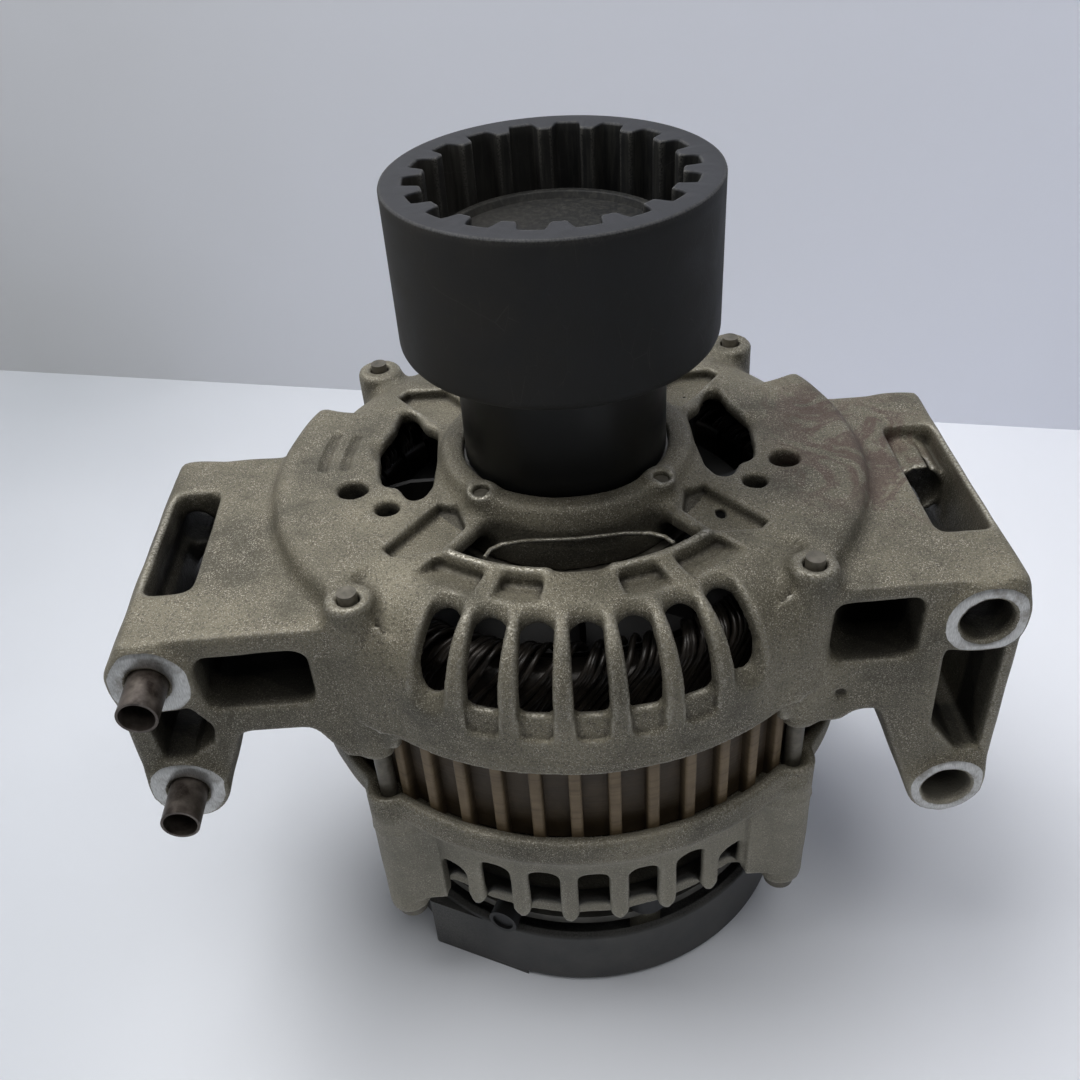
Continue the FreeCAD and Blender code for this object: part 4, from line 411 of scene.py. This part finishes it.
def cut(values, cutter, soft):
    """Take a cutter away from the solid, with a rounded edge."""
    return -smooth_union(-values, cutter, soft)


def overlap(*fields):
    """What several fields have in common, with sharp edges."""
    common = fields[0]
    for field in fields[1:]:
        common = numpy.maximum(common, field)
    return common


def distance_from(x, y, place_x, place_y):
    """Distance from an upright line."""
    return numpy.sqrt((x - place_x) ** 2 + (y - place_y) ** 2)


def polar(x, y):
    """Radius, and the turn in degrees from the front."""
    return numpy.sqrt(x * x + y * y), numpy.degrees(numpy.arctan2(x, -y))


def fade(value, length):
    """0 where value is negative, rising to 1 over a length."""
    return numpy.clip(value / length, 0, 1)


def rounded(across, along, corner):
    """Distance to a corner between two faces, rounded by the given radius."""
    first, second = across + corner, along + corner
    outside = numpy.sqrt(numpy.maximum(first, 0) ** 2 + numpy.maximum(second, 0) ** 2)
    return outside + numpy.minimum(numpy.maximum(first, second), 0) - corner


def prism(first, second, corners):
    """Distance to a convex prism over corners that run anticlockwise in two axes."""
    sides = []
    for (x0, y0), (x1, y1) in zip(corners, corners[1:] + corners[:1]):
        length = math.hypot(x1 - x0, y1 - y0)
        sides.append(((first - x0) * (y1 - y0) - (second - y0) * (x1 - x0)) / length)
    return overlap(*sides)


def ridge(z, height, half, proud):
    """Height of a low ridge round the casting."""
    return numpy.exp(-((z - height) / half) ** 2) * proud


def unevenness(x, y, z, size, height):
    """Low swells of a sand casting, as a few crossed waves."""
    total = 0
    waves = 6
    dice = random.Random(7)
    for number in range(waves):
        way = Vector([dice.gauss(0, 1) for axis in range(3)]).normalized() * (math.tau / size)
        total = total + numpy.sin(x * way.x + y * way.y + z * way.z + dice.uniform(0, math.tau))
    return total * height / waves


# Skins of the two castings, made from their CAD solids with cast fillets

LOOK_WAYS, LOOK_STEPS, LOOK_STEP = 26, 14, 2.6
LOOK_LIFT, LOOK_SLANT = 1.5, 0.05


def openness(values, low, points, normals):
    """For each surface point, the share of the directions round its normal that leave the solid."""
    shape = numpy.array(values.shape)
    solid = values < 0
    start = points / VOXEL - numpy.array(low) + normals * LOOK_LIFT
    seen, weight = numpy.zeros(len(points)), numpy.zeros(len(points))
    for number in range(LOOK_WAYS):
        height = 1 - 2 * (number + 0.5) / LOOK_WAYS
        turn = number * math.pi * (3 - math.sqrt(5))
        flat = math.sqrt(1 - height * height)
        way = numpy.array((flat * math.cos(turn), flat * math.sin(turn), height))
        facing = numpy.maximum(normals @ way, 0)
        free = facing > LOOK_SLANT
        for step in range(1, LOOK_STEPS + 1):
            cells = numpy.rint(start + way * (step * LOOK_STEP / VOXEL)).astype(int)
            inside = ((cells >= 0) & (cells < shape)).all(axis=1)
            cells = numpy.clip(cells, 0, shape - 1)
            free &= ~(inside & solid[cells[:, 0], cells[:, 1], cells[:, 2]])
        seen += facing * free
        weight += facing
    return seen / numpy.maximum(weight, 0.001)


def quad_mesh(name, points, quads):
    """A smooth mesh from arrays of points in millimetres and four-cornered faces."""
    mesh = bpy.data.meshes.new(name)
    mesh.vertices.add(len(points))
    mesh.vertices.foreach_set("co", (points * MM).ravel())
    mesh.loops.add(quads.size)
    mesh.loops.foreach_set("vertex_index", quads.astype(numpy.int32).ravel())
    mesh.polygons.add(len(quads))
    mesh.polygons.foreach_set("loop_start", numpy.arange(0, quads.size, 4, dtype=numpy.int32))
    mesh.polygons.foreach_set("use_smooth", numpy.ones(len(quads), bool))
    mesh.update(calc_edges=True)
    mesh.validate()
    return mesh


def skin(name, nodes, fillet, edge_round, shaped):
    """One cast surface in place of the nodes: inner corners filled, outer edges rounded, then shaped."""
    points, faces = offset(*soup(nodes), fillet)
    points, faces = offset(points, faces, -fillet - edge_round)
    grid = distances(points, faces, edge_round + SKIN_REACH)
    low, high = grid.evalActiveVoxelBoundingBox()
    values = numpy.empty([b - a + 1 for a, b in zip(low, high)], numpy.float32)
    grid.copyToArray(values, ijk=low)
    x, y, z = (numpy.arange(a, b + 1, dtype=numpy.float32) * VOXEL for a, b in zip(low, high))
    values = shaped(values - edge_round, x[:, None, None], y[None, :, None], z[None, None, :])
    cast = openvdb.FloatGrid(edge_round + SKIN_REACH)
    cast.copyFromArray(values.astype(numpy.float32), ijk=low)
    cast.transform = grid.transform
    points, quads = cast.convertToQuads(isovalue=0)
    mesh = quad_mesh(name, points, quads)
    normals = numpy.empty(len(points) * 3, numpy.float32)
    mesh.vertices.foreach_get("normal", normals)
    # How shut in each point is, for the painted shade and dirt in hollows.
    hollow_shade_and_dirt = 1 - openness(values, low, points, normals.reshape(-1, 3))
    mesh.attributes.new("hollow_shade_and_dirt", "FLOAT", "POINT").data.foreach_set("value", hollow_shade_and_dirt.astype(numpy.float32))
    piece = place_piece(name, mesh)
    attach(piece, "housing")
    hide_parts(*nodes)
    dress(piece, "cast_aluminium")


# Forms of the drive-end casting, where EDGE says how far a cutter's edges are rounded

SIDES = (-1, 1)
DRUM_RADIUS, DRUM_INSIDE, DRUM_TOP, SHOULDER_ROUND = 84.0, 79.5, 160.5, 22.0
BOLT_PLACE = 57.63
HOLE_EDGE = 0.6

COLUMN_RADIUS, COLUMN_TAPER, COLUMN_PROUD, COLUMN_BLEND = 4.8, 0.06, 1.1, 11.0
COLUMN_REACH, COLUMN_FOOT = 14, 121
SLOTTED_ARC, ARC_FADE, OUTSIDE_ARC_SINK = 47, 8, 3
TRIM_REACH, TRIM_FADE, TRIM_FOOT, TRIM_RISE = 17, 8, 119, 4
BOLT_HOLE_RADIUS, BOLT_HOLE_FLOOR = 2.9, 150


def front_bolts(values, x, y, z):
    """Columns round the four bolts, blended into the drum where they face its slots."""
    radius, azimuth = polar(x, y)
    across, up = radius - (DRUM_RADIUS - SHOULDER_ROUND), z - (DRUM_TOP - SHOULDER_ROUND)
    drum = numpy.sqrt(numpy.maximum(across, 0) ** 2 + numpy.maximum(up, 0) ** 2) - SHOULDER_ROUND
    drum = drum + numpy.minimum(numpy.maximum(across, up), 0)
    for side in SIDES:
        for end in SIDES:
            away = distance_from(x, y, side * BOLT_PLACE, end * BOLT_PLACE)
            flank = away - COLUMN_RADIUS - (DRUM_TOP - z) * COLUMN_TAPER
            blended = smooth_union(drum, overlap(flank, z - DRUM_TOP - COLUMN_PROUD), COLUMN_BLEND)
            turned = numpy.abs(azimuth)
            slotted = fade(SLOTTED_ARC - turned if end < 0 else turned - (180 - SLOTTED_ARC), ARC_FADE)
            if end < 0:
                trimmed = slotted * fade(TRIM_REACH - away, TRIM_FADE) * fade(z - TRIM_FOOT, TRIM_RISE)
                values = values + (numpy.maximum(values, blended) - values) * trimmed
            web = overlap(blended, DRUM_INSIDE - radius, away - COLUMN_REACH, COLUMN_FOOT - z)
            values = numpy.minimum(values, web + OUTSIDE_ARC_SINK * (1 - slotted))
            values = cut(values, overlap(away - BOLT_HOLE_RADIUS, BOLT_HOLE_FLOOR - z), HOLE_EDGE)
    return values


SLOT_COUNT, SLOT_PITCH, SLOT_HALF, SLOT_ARCH, SLOT_CORNER = 7, 9.5, 4.1, 69.0, 1.4
SLOT_FOOT, END_SLOT_FOOT, SLOT_EDGE = 137.6, 145.0, 1.2
SCOOP_HEIGHT, SCOOP_OVERLAP, SCOOP_DEPTH, SCOOP_SLOPE, SCOOP_CORNER, SCOOP_EDGE = 6.5, 3, 1.4, 0.2, 2, 1.0


def front_slots(values, x, y, z):
    """Slots over the shoulder at the front and the back, with a shallow scoop under each."""
    last = SLOT_COUNT // 2
    for direction in SIDES:
        for number in range(-last, last + 1):
            turn = math.radians(number * SLOT_PITCH)
            out = x * math.sin(turn) - direction * y * math.cos(turn)
            aside = numpy.abs(x * math.cos(turn) + direction * y * math.sin(turn)) - SLOT_HALF
            foot = END_SLOT_FOOT if abs(number) == last else SLOT_FOOT
            opening = overlap(rounded(aside, SLOT_ARCH - out, SLOT_CORNER),
                              rounded(aside, foot - z, SLOT_CORNER))
            values = cut(values, opening, SLOT_EDGE)
            face = DRUM_RADIUS - SCOOP_DEPTH - (z - foot + SCOOP_HEIGHT) * SCOOP_SLOPE - out
            scoop = overlap(rounded(aside, foot - SCOOP_HEIGHT - z, SCOOP_CORNER), face,
                            z - foot - SCOOP_OVERLAP)
            values = cut(values, scoop, SCOOP_EDGE)
    return values


# Each pit between the window and the slots: its middle and half its width, in degrees from the front
DECK_PITS = ((14.8, 5.4), (32.5, 7.5))
PIT_INSIDE, PIT_MIDDLE, PIT_OUTSIDE = 55.9, 59, 66
PIT_DEPTH, PIT_RAMP, PIT_CORNER, PIT_EDGE = 3.6, 8, 1.5, 1.0
SPOKE_POCKET = [(36, 20.5), (50, 38.5), (47.5, 41.5), (35.5, 41), (28.8, 31.5), (31, 22.5)]
POCKET_RISE_INSIDE, POCKET_RISE, POCKET_EDGE = 44, 0.12, 1.4
HUB_WALL_MIDDLE, HUB_WALL_HALF, HUB_WALL_FLOOR, HUB_WALL_EDGE = 45.3, 4.7, 143, 0.8
HUB_WALL_TURN, HUB_WALL_DEGREE = 33, 0.75


def deck_recesses(values, x, y, z):
    """Pits and pockets of the top face, and the hub's wall in the front window."""
    radius, azimuth = polar(x, y)
    ramp = DRUM_TOP - PIT_DEPTH * fade(PIT_OUTSIDE - radius, PIT_RAMP) - z
    for middle, half in DECK_PITS:
        for side in SIDES:
            for turned in (0, 180):
                turn = numpy.abs((azimuth - turned - side * middle + 180) % 360 - 180) - half
                walls = rounded(turn * math.radians(PIT_MIDDLE), PIT_INSIDE - radius, PIT_CORNER)
                values = cut(values, overlap(walls, ramp, radius - PIT_OUTSIDE), PIT_EDGE)
    floor = DRUM_TOP - PIT_DEPTH + numpy.maximum(POCKET_RISE_INSIDE - radius, 0) * POCKET_RISE
    for side in SIDES:
        for end in SIDES:
            pocket = overlap(prism(side * x, end * y, SPOKE_POCKET), floor - z)
            values = cut(values, pocket, POCKET_EDGE)
    flank = overlap(numpy.abs(radius - HUB_WALL_MIDDLE) - HUB_WALL_HALF,
                    (numpy.abs(azimuth) - HUB_WALL_TURN) * HUB_WALL_DEGREE)
    return cut(values, overlap(flank, HUB_WALL_FLOOR - z), HUB_WALL_EDGE)


GROOVE_RADII, GROOVE_TURN, GROOVE_HALF_TURN, GROOVE_FLAT, GROOVE_ROUND = (63.5, 70.0), -98, 7.5, 0.2, 1.3


def deck_grooves(values, x, y, z):
    """Two short grooves along arcs on the left of the top face."""
    radius, azimuth = polar(x, y)
    for middle in GROOVE_RADII:
        past = numpy.maximum(numpy.abs(azimuth - GROOVE_TURN) - GROOVE_HALF_TURN, 0) * math.radians(middle)
        beside = numpy.maximum(numpy.abs(radius - middle) - GROOVE_FLAT, 0)
        groove = numpy.sqrt(beside ** 2 + past ** 2 + (z - DRUM_TOP) ** 2)
        values = cut(values, groove - GROOVE_ROUND, HOLE_EDGE)
    return values


SCREW_CIRCLE = 34
PAD_RADIUS, PAD_TOP, PAD_FOOT, PAD_BLEND, PAD_REACH = 3.5, 166, 158, 3.5, 9
SCREW_HOLE_RADIUS, SCREW_HOLE_FLOOR = 2.2, 161.5
DRAIN_X, DRAIN_Y, DRAIN_LENGTH, DRAIN_RADIUS, DRAIN_FLOOR = 39.5, -29.5, 1.2, 1.1, 150
PIT_PLACE, PIT_RADIUS = (67.5, -61.7, 117.5), 1.8


def small_holes(values, x, y, z):
    """Pads and holes of the retainer screws, the deck's grooves and drain hole, a pit in the front."""
    for turn in (45, 135, 225, 315):
        away = distance_from(x, y, SCREW_CIRCLE * math.sin(math.radians(turn)),
                             SCREW_CIRCLE * math.cos(math.radians(turn)))
        pad = overlap(away - PAD_RADIUS, z - PAD_TOP, PAD_FOOT - z)
        values = numpy.where(away < PAD_REACH, smooth_union(values, pad, PAD_BLEND), values)
        values = cut(values, overlap(away - SCREW_HOLE_RADIUS, SCREW_HOLE_FLOOR - z), HOLE_EDGE)
    values = deck_grooves(values, x, y, z)
    along = numpy.maximum(numpy.abs(y - DRAIN_Y) - DRAIN_LENGTH, 0)
    drain = numpy.sqrt((x - DRAIN_X) ** 2 + along ** 2) - DRAIN_RADIUS
    values = numpy.maximum(values, numpy.minimum(-drain, z - DRAIN_FLOOR))
    pit_x, pit_y, pit_z = PIT_PLACE
    pit = numpy.sqrt((x - pit_x) ** 2 + (y - pit_y) ** 2 + (z - pit_z) ** 2) - PIT_RADIUS
    return cut(values, pit, HOLE_EDGE)


RIGHT_BORE_X, RIGHT_BORE_Z = 101.8, 141.7
TUBE_RADIUS, TUBE_END, TUBE_ROUND = 8.4, -6, 0.8
WELL_X, WELL_Y, WELL_HALF_X, WELL_HALF_Y = 101.85, -15.4, 6.95, 25.2
WELL_CORNER, WELL_FLOOR, WELL_EDGE = 2, 129, 0.9
LEFT_LEG = [(-115.5, 126), (-114.5, 112.5), (-107, 112.5), (-100.5, 117), (-99.5, 122.5), (-104.5, 130.5),
            (-112, 130.5)]
RIGHT_LEG = [(94, 130.5), (94.5, 103), (103, 91.5), (108.8, 91.5), (108.8, 130.5)]
LEFT_LEG_BACK, RIGHT_LEG_BACK, LEG_EDGE = 30, 40, 1.4


def arm_windows(values, x, y, z):
    """The right arm's well, round the tube of its bore, and the openings of the two legs."""
    tube = rounded(distance_from(x, z, RIGHT_BORE_X, RIGHT_BORE_Z) - TUBE_RADIUS, TUBE_END - y, TUBE_ROUND)
    walls = rounded(numpy.abs(x - WELL_X) - WELL_HALF_X, numpy.abs(y - WELL_Y) - WELL_HALF_Y, WELL_CORNER)
    values = cut(values, overlap(walls, WELL_FLOOR - z, -tube), WELL_EDGE)
    values = cut(values, overlap(prism(x, z, LEFT_LEG), y - LEFT_LEG_BACK), LEG_EDGE)
    return cut(values, overlap(prism(x, z, RIGHT_LEG), y - RIGHT_LEG_BACK), LEG_EDGE)


# Each ridge round the skirt: its height, half its width and how far it stands out
SKIRT_RIDGES = ((122.6, 0.55, 0.4), (119.6, 0.5, 0.25))
SKIRT_OUTSIDE, SKIRT_RIDGE_TURN = 81, 30
FRONT_SWELL, SWELL_HEIGHT = 17, 0.22


def front_casting(values, x, y, z):
    """Blended bolt columns, slots, pockets, windows and holes with their own edges, and a cast unevenness."""
    for form in (front_bolts, front_slots, deck_recesses, small_holes, arm_windows):
        values = form(values, x, y, z)
    radius, azimuth = polar(x, y)
    ridges = sum(ridge(z, *form) for form in SKIRT_RIDGES)
    ridges = ridges * (numpy.abs(azimuth) < SKIRT_RIDGE_TURN) * (radius > SKIRT_OUTSIDE)
    return values - ridges + unevenness(x, y, z, FRONT_SWELL, SWELL_HEIGHT)


# Forms of the rear casting

REAR_WALL_INSIDE, REAR_WALL_MIDDLE, REAR_WALL_OUTSIDE = 73.5, 74, 77
LUG_RADIUS, LUG_BLEND, LUG_REACH, LUG_FOOT, LUG_TOP = 5.9, 15, 13, 43, 83
REAR_RIDGE, REAR_SWELL = (75.5, 0.6, 0.35), 15


def rear_casting(values, x, y, z):
    """Bolt lugs that blend into the drum, a ridge round its wall, and a cast unevenness."""
    radius = polar(x, y)[0]
    for side in SIDES:
        for end in SIDES:
            away = distance_from(x, y, side * BOLT_PLACE, end * BOLT_PLACE)
            web = smooth_union(radius - REAR_WALL_OUTSIDE, away - LUG_RADIUS, LUG_BLEND)
            lug = overlap(web, REAR_WALL_INSIDE - radius, away - LUG_REACH, z - LUG_TOP, LUG_FOOT - z)
            values = numpy.minimum(values, lug)
    ridges = ridge(z, *REAR_RIDGE) * (radius > REAR_WALL_MIDDLE)
    return values - ridges + unevenness(x, y, z, REAR_SWELL, SWELL_HEIGHT)


FRONT_FILLET, REAR_FILLET, EDGE_ROUND = 2.1, 1.8, 0.7
FRONT_NODES = ("drive_end_bracket", "left_arm", "right_arm")

skin("drive_end_casting", FRONT_NODES, FRONT_FILLET, EDGE_ROUND, front_casting)
skin("rear_casting", ("slip_ring_end_bracket",), REAR_FILLET, EDGE_ROUND, rear_casting)


# Wires of the winding ends, laid over the solid rings

WIRE_COUNT, WIRE_RADIUS, WIRE_POINTS = 260, 0.85, 15
WIRE_LEAN, RISE_SHARE, CREST_ROUND = 14, 0.6, 4
RING_INSIDE, RING_OUTSIDE = 62, 72.5
FRONT_RING_FOOT, FRONT_RING_CREST = 124, 145.5
REAR_RING_FOOT, REAR_RING_CREST = 85, 67


def tubes(name, slot, lines, radius):
    """Round wires along lists of points in millimetres, as one piece that rides on the housing."""
    curve = bpy.data.curves.new(name, "CURVE")
    curve.dimensions = "3D"
    curve.bevel_depth = radius * MM
    curve.bevel_resolution = 1
    curve.use_fill_caps = True
    for line in lines:
        spline = curve.splines.new("POLY")
        spline.points.add(len(line) - 1)
        for point, place in zip(spline.points, line):
            point.co = (*(c * MM for c in place), 1)
        spline.use_smooth = True
    shape = place_piece(name + "_lines", curve)
    mesh = bpy.data.meshes.new_from_object(shape.evaluated_get(bpy.context.evaluated_depsgraph_get()))
    mesh.name = name
    bpy.data.objects.remove(shape)
    piece = place_piece(name, mesh)
    for face in mesh.polygons:
        face.use_smooth = True
    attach(piece, "housing")
    dress(piece, slot)


def wire(start, lean, proud, foot, crest):
    """One wire's points: up from the slots on a slant, over the ring's crest and down inside it."""
    way = 1 if crest > foot else -1
    middle = (RING_OUTSIDE + RING_INSIDE) / 2
    points = []
    for step in range(WIRE_POINTS):
        share = step / (WIRE_POINTS - 1)
        if share < RISE_SHARE:
            height = foot + way + (crest - foot - way * (CREST_ROUND + 1)) * share / RISE_SHARE
            radius = RING_OUTSIDE + proud
        else:
            roll = (share - RISE_SHARE) / (1 - RISE_SHARE) * math.pi
            radius = middle + (RING_OUTSIDE - middle + proud) * math.cos(roll)
            height = crest - way * CREST_ROUND + way * (CREST_ROUND + proud) * math.sin(roll)
        turn = math.radians(start + lean * share)
        points.append((radius * math.sin(turn), -radius * math.cos(turn), height))
    return points


def winding_wires(name, foot, crest, seed):
    """Wires all round one winding end, in threes that lean more and less by turns."""
    dice = random.Random(seed)
    lines = []
    for number in range(WIRE_COUNT):
        start = 360 * number / WIRE_COUNT + dice.uniform(-0.3, 0.3)
        lean = WIRE_LEAN + dice.uniform(-2, 2) + (2 if number % 6 < 3 else -1)
        proud = dice.uniform(-0.1, 0.5)
        lines.append(wire(start, lean, proud, foot, crest))
    tubes(name, "winding", lines, WIRE_RADIUS)


winding_wires("front_winding_wires", FRONT_RING_FOOT, FRONT_RING_CREST, 3)
winding_wires("rear_winding_wires", REAR_RING_FOOT, REAR_RING_CREST, 4)


# Coupling cup with its splined mouth

CUP_RADIUS, CUP_FOOT, CUP_TOP, CUP_FLOOR, CUP_FOOT_ROUND = 42.2, 198.5, 241.9, 221.5, 3.5
SLEEVE_JOIN_RADIUS, CUP_FLOOR_INSIDE = 28.6, 20
TEETH, ROOT_RADIUS, TIP_RADIUS, TIP_HALF_TURN, ROOT_HALF_TURN = 18, 36.2, 31.8, 2.6, 5.6
COLUMNS_PER_TOOTH = 26


def tooth_share(turn):
    """1 at a tooth's tip and 0 between teeth, for an angle in degrees."""
    pitch = 360 / TEETH
    from_tip = abs((turn + pitch / 2) % pitch - pitch / 2)
    share = min(max((ROOT_HALF_TURN - from_tip) / (ROOT_HALF_TURN - TIP_HALF_TURN), 0), 1)
    return share * share * (3 - 2 * share)


def cup_outline(inner):
    """Radii and heights from the foot, up the wall, over the rim and down inside at the given radius."""
    centre, level = CUP_RADIUS - CUP_FOOT_ROUND, CUP_FOOT + CUP_FOOT_ROUND
    outline = [(SLEEVE_JOIN_RADIUS, CUP_FOOT), (centre - 0.5, CUP_FOOT)]
    outline += [(centre + CUP_FOOT_ROUND * math.sin(math.radians(turn)),
                 level - CUP_FOOT_ROUND * math.cos(math.radians(turn))) for turn in range(0, 91, 15)]
    outline += [(CUP_RADIUS, height) for height in (210, 225, 238, CUP_TOP - 0.7)]
    outline += [(CUP_RADIUS - back, CUP_TOP - under) for back, under in ((0.15, 0.3), (0.5, 0.05), (1, 0))]
    outline += [(inner + out, CUP_TOP - under) for out, under in ((1, 0), (0.4, 0.05), (0.12, 0.3))]
    outline += [(inner, height) for height in (CUP_TOP - 0.7, 239, 234, 229, 224, CUP_FLOOR + 0.1)]
    return outline + [(inner - 0.5, CUP_FLOOR), (CUP_FLOOR_INSIDE, CUP_FLOOR)]


def splined_cup(name):
    """The cup as one surface: rounded foot, wall, flat rim, and inside it the teeth, flush with the rim."""
    columns = TEETH * COLUMNS_PER_TOOTH
    points, faces = [], []
    for column in range(columns):
        degrees = 360 * column / columns
        turn = math.radians(degrees)
        outline = cup_outline(ROOT_RADIUS - (ROOT_RADIUS - TIP_RADIUS) * tooth_share(degrees))
        points += [(r * math.sin(turn) * MM, -r * math.cos(turn) * MM, h * MM) for r, h in outline]
    rows = len(outline)
    for column in range(columns):
        here, after = column * rows, (column + 1) % columns * rows
        faces += [(here + row, after + row, after + row + 1, here + row + 1) for row in range(rows - 1)]
    mesh = bpy.data.meshes.new(name)
    mesh.from_pydata(points, [], faces)
    for face in mesh.polygons:
        face.use_smooth = True
    mesh.validate()
    piece = place_piece(name, mesh)
    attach(piece, "rotor")
    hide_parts("coupling_cup")
    dress(piece, "coupling_steel")


splined_cup("splined_cup")


# Thin flash left in the front window, along its outline

FLASH_HEIGHT, FLASH_RADIUS = 158.2, 0.6
FLASH = ((-24, -43), (-22.5, -40), (-19.5, -38), (-13, -37.2), (-7, -37.6), (0, -38), (7, -37.6), (13, -37.2),
         (19.5, -38), (23, -40), (25, -43))

tubes("window_flash", "cast_aluminium", [[(x, y, FLASH_HEIGHT) for x, y in FLASH]], FLASH_RADIUS)


# Stage: floor, wall, light and camera

def stage_material(name, left, right, low, high, rough):
    """Painted light: a soft gradient across the picture from low to high millimetres, darker to the left as
    painted shade, with faint lighter clouds.
    """
    g = Graph(name)
    colour = g.blend(g.span(g.x, low * MM, high * MM), left, right)
    cloud = g.noise(260, 2, 0.5)
    colour = g.blend(g.span(cloud, 0.35, 0.65, 0, 0.25), colour, right)
    return g.finish(colour, rough, shine=0.3)


def open_from_behind(material):
    """The wall hides nothing from a camera that stands behind it."""
    tree = material.node_tree
    end = next(node for node in tree.nodes if node.type == "OUTPUT_MATERIAL")
    solid = end.inputs[0].links[0].from_socket
    both = tree.nodes.new("ShaderNodeMath")
    both.operation = "MULTIPLY"
    tree.links.new(tree.nodes.new("ShaderNodeNewGeometry").outputs["Backfacing"], both.inputs[0])
    tree.links.new(tree.nodes.new("ShaderNodeLightPath").outputs["Is Camera Ray"], both.inputs[1])
    mix = tree.nodes.new("ShaderNodeMixShader")
    tree.links.new(both.outputs[0], mix.inputs[0])
    tree.links.new(solid, mix.inputs[1])
    tree.links.new(tree.nodes.new("ShaderNodeBsdfTransparent").outputs[0], mix.inputs[2])
    tree.links.new(mix.outputs[0], end.inputs[0])
    return material


def sheet_of(name, corners, material):
    """A flat four-cornered sheet of the stage."""
    mesh = bpy.data.meshes.new(name)
    mesh.from_pydata([[c * MM for c in corner] for corner in corners], [], [list(range(len(corners)))])
    mesh.materials.append(material)
    place_piece(name, mesh)


# The wall's foot crosses the photograph from (0, 370) to (1080, 430) in its pixels.
FOOT_LEFT, FOOT_RIGHT = Vector((-353.4, 391.1, 0)), Vector((284.7, 227.1, 0))
WALL_REACH, WALL_HEIGHT, WALL_SUNK = 2400, 1800, 180
FLOOR_FRONT, FLOOR_SUNK = Vector((-500, -2600, 0)), Vector((0, 0, -0.2))

along = (FOOT_RIGHT - FOOT_LEFT).normalized() * WALL_REACH
foot_start, foot_end = FOOT_LEFT - along, FOOT_RIGHT + along
floor_corners = [foot_start + FLOOR_FRONT, foot_end + FLOOR_FRONT, foot_end, foot_start]
# Floor colour darker towards the left: painted shade.
sheet_of("floor", [corner + FLOOR_SUNK for corner in floor_corners],
         stage_material("floor", rgb(196, 200, 206), rgb(243, 245, 250), -300, 200, 0.3))
top, bottom = Vector((0, 0, WALL_HEIGHT)), Vector((0, 0, -WALL_SUNK))
# Wall colour darker towards the left: painted shade.
wall_material = stage_material("wall", rgb(200, 201, 202), rgb(236, 239, 250), -350, 250, 0.8)
sheet_of("wall", [foot_start + bottom, foot_end + bottom, foot_end + top, foot_start + top],
         open_from_behind(wall_material))


def aimed(thing, place, rotation):
    """Put a lamp or the camera in its place, with its rotation as a quaternion."""
    bpy.context.scene.collection.objects.link(thing)
    thing.location = Vector(place) * MM
    thing.rotation_mode = "QUATERNION"
    thing.rotation_quaternion = rotation


def lamp(name, place, target, size, power):
    """A rectangular area lamp that shines on a target, in millimetres and watts."""
    data = bpy.data.lights.new(name, "AREA")
    data.shape = "RECTANGLE"
    data.size, data.size_y = (side * MM for side in size)
    data.energy = power
    way = (Vector(target) - Vector(place)) * MM
    aimed(bpy.data.objects.new(name, data), place, way.to_track_quat("-Z", "Y"))


lamp("key", (-280, 130, 1000), (0, 20, 100), (700, 600), 8.8)
lamp("fill", (-900, -420, 620), (0, 0, 100), (700, 700), 1.0)
lamp("front", (200, -380, 1000), (60, -380, 0), (600, 400), 2.5)
world = bpy.data.worlds.new("world")
world.use_nodes = True
background = world.node_tree.nodes["Background"]
background.inputs["Color"].default_value = rgb(206, 209, 214)
background.inputs["Strength"].default_value = 0.15
bpy.context.scene.world = world
bpy.context.scene.view_settings.view_transform = "Standard"

# The camera, from a least-squares fit to circles in the photograph: its place, its angles and its lens
CAMERA_PLACE = (-9.46, -265.68, 335.40)
PITCH, YAW, ROLL, TURN = (math.radians(a) for a in (37.81, -2.02, 4.31, 2.04))
FOCAL_PIXELS, FRAME_PIXELS = 1106.4, 1080
CLOSEST_METRES = 0.01

forward = Vector((math.sin(YAW) * math.cos(PITCH), math.cos(YAW) * math.cos(PITCH), -math.sin(PITCH)))
right = Vector((math.cos(YAW), -math.sin(YAW), 0))
down = forward.cross(right)
rolled_right = math.cos(ROLL) * right + math.sin(ROLL) * down
rolled_down = -math.sin(ROLL) * right + math.cos(ROLL) * down
axes = Matrix((rolled_right, -rolled_down, -forward)).transposed()
camera = bpy.data.objects.new("camera", bpy.data.cameras.new("camera"))
camera.data.lens = camera.data.sensor_width * FOCAL_PIXELS / FRAME_PIXELS
camera.data.clip_start = CLOSEST_METRES
aimed(camera, CAMERA_PLACE, (Matrix.Rotation(-TURN, 3, "Z") @ axes).to_quaternion())
bpy.context.scene.camera = camera
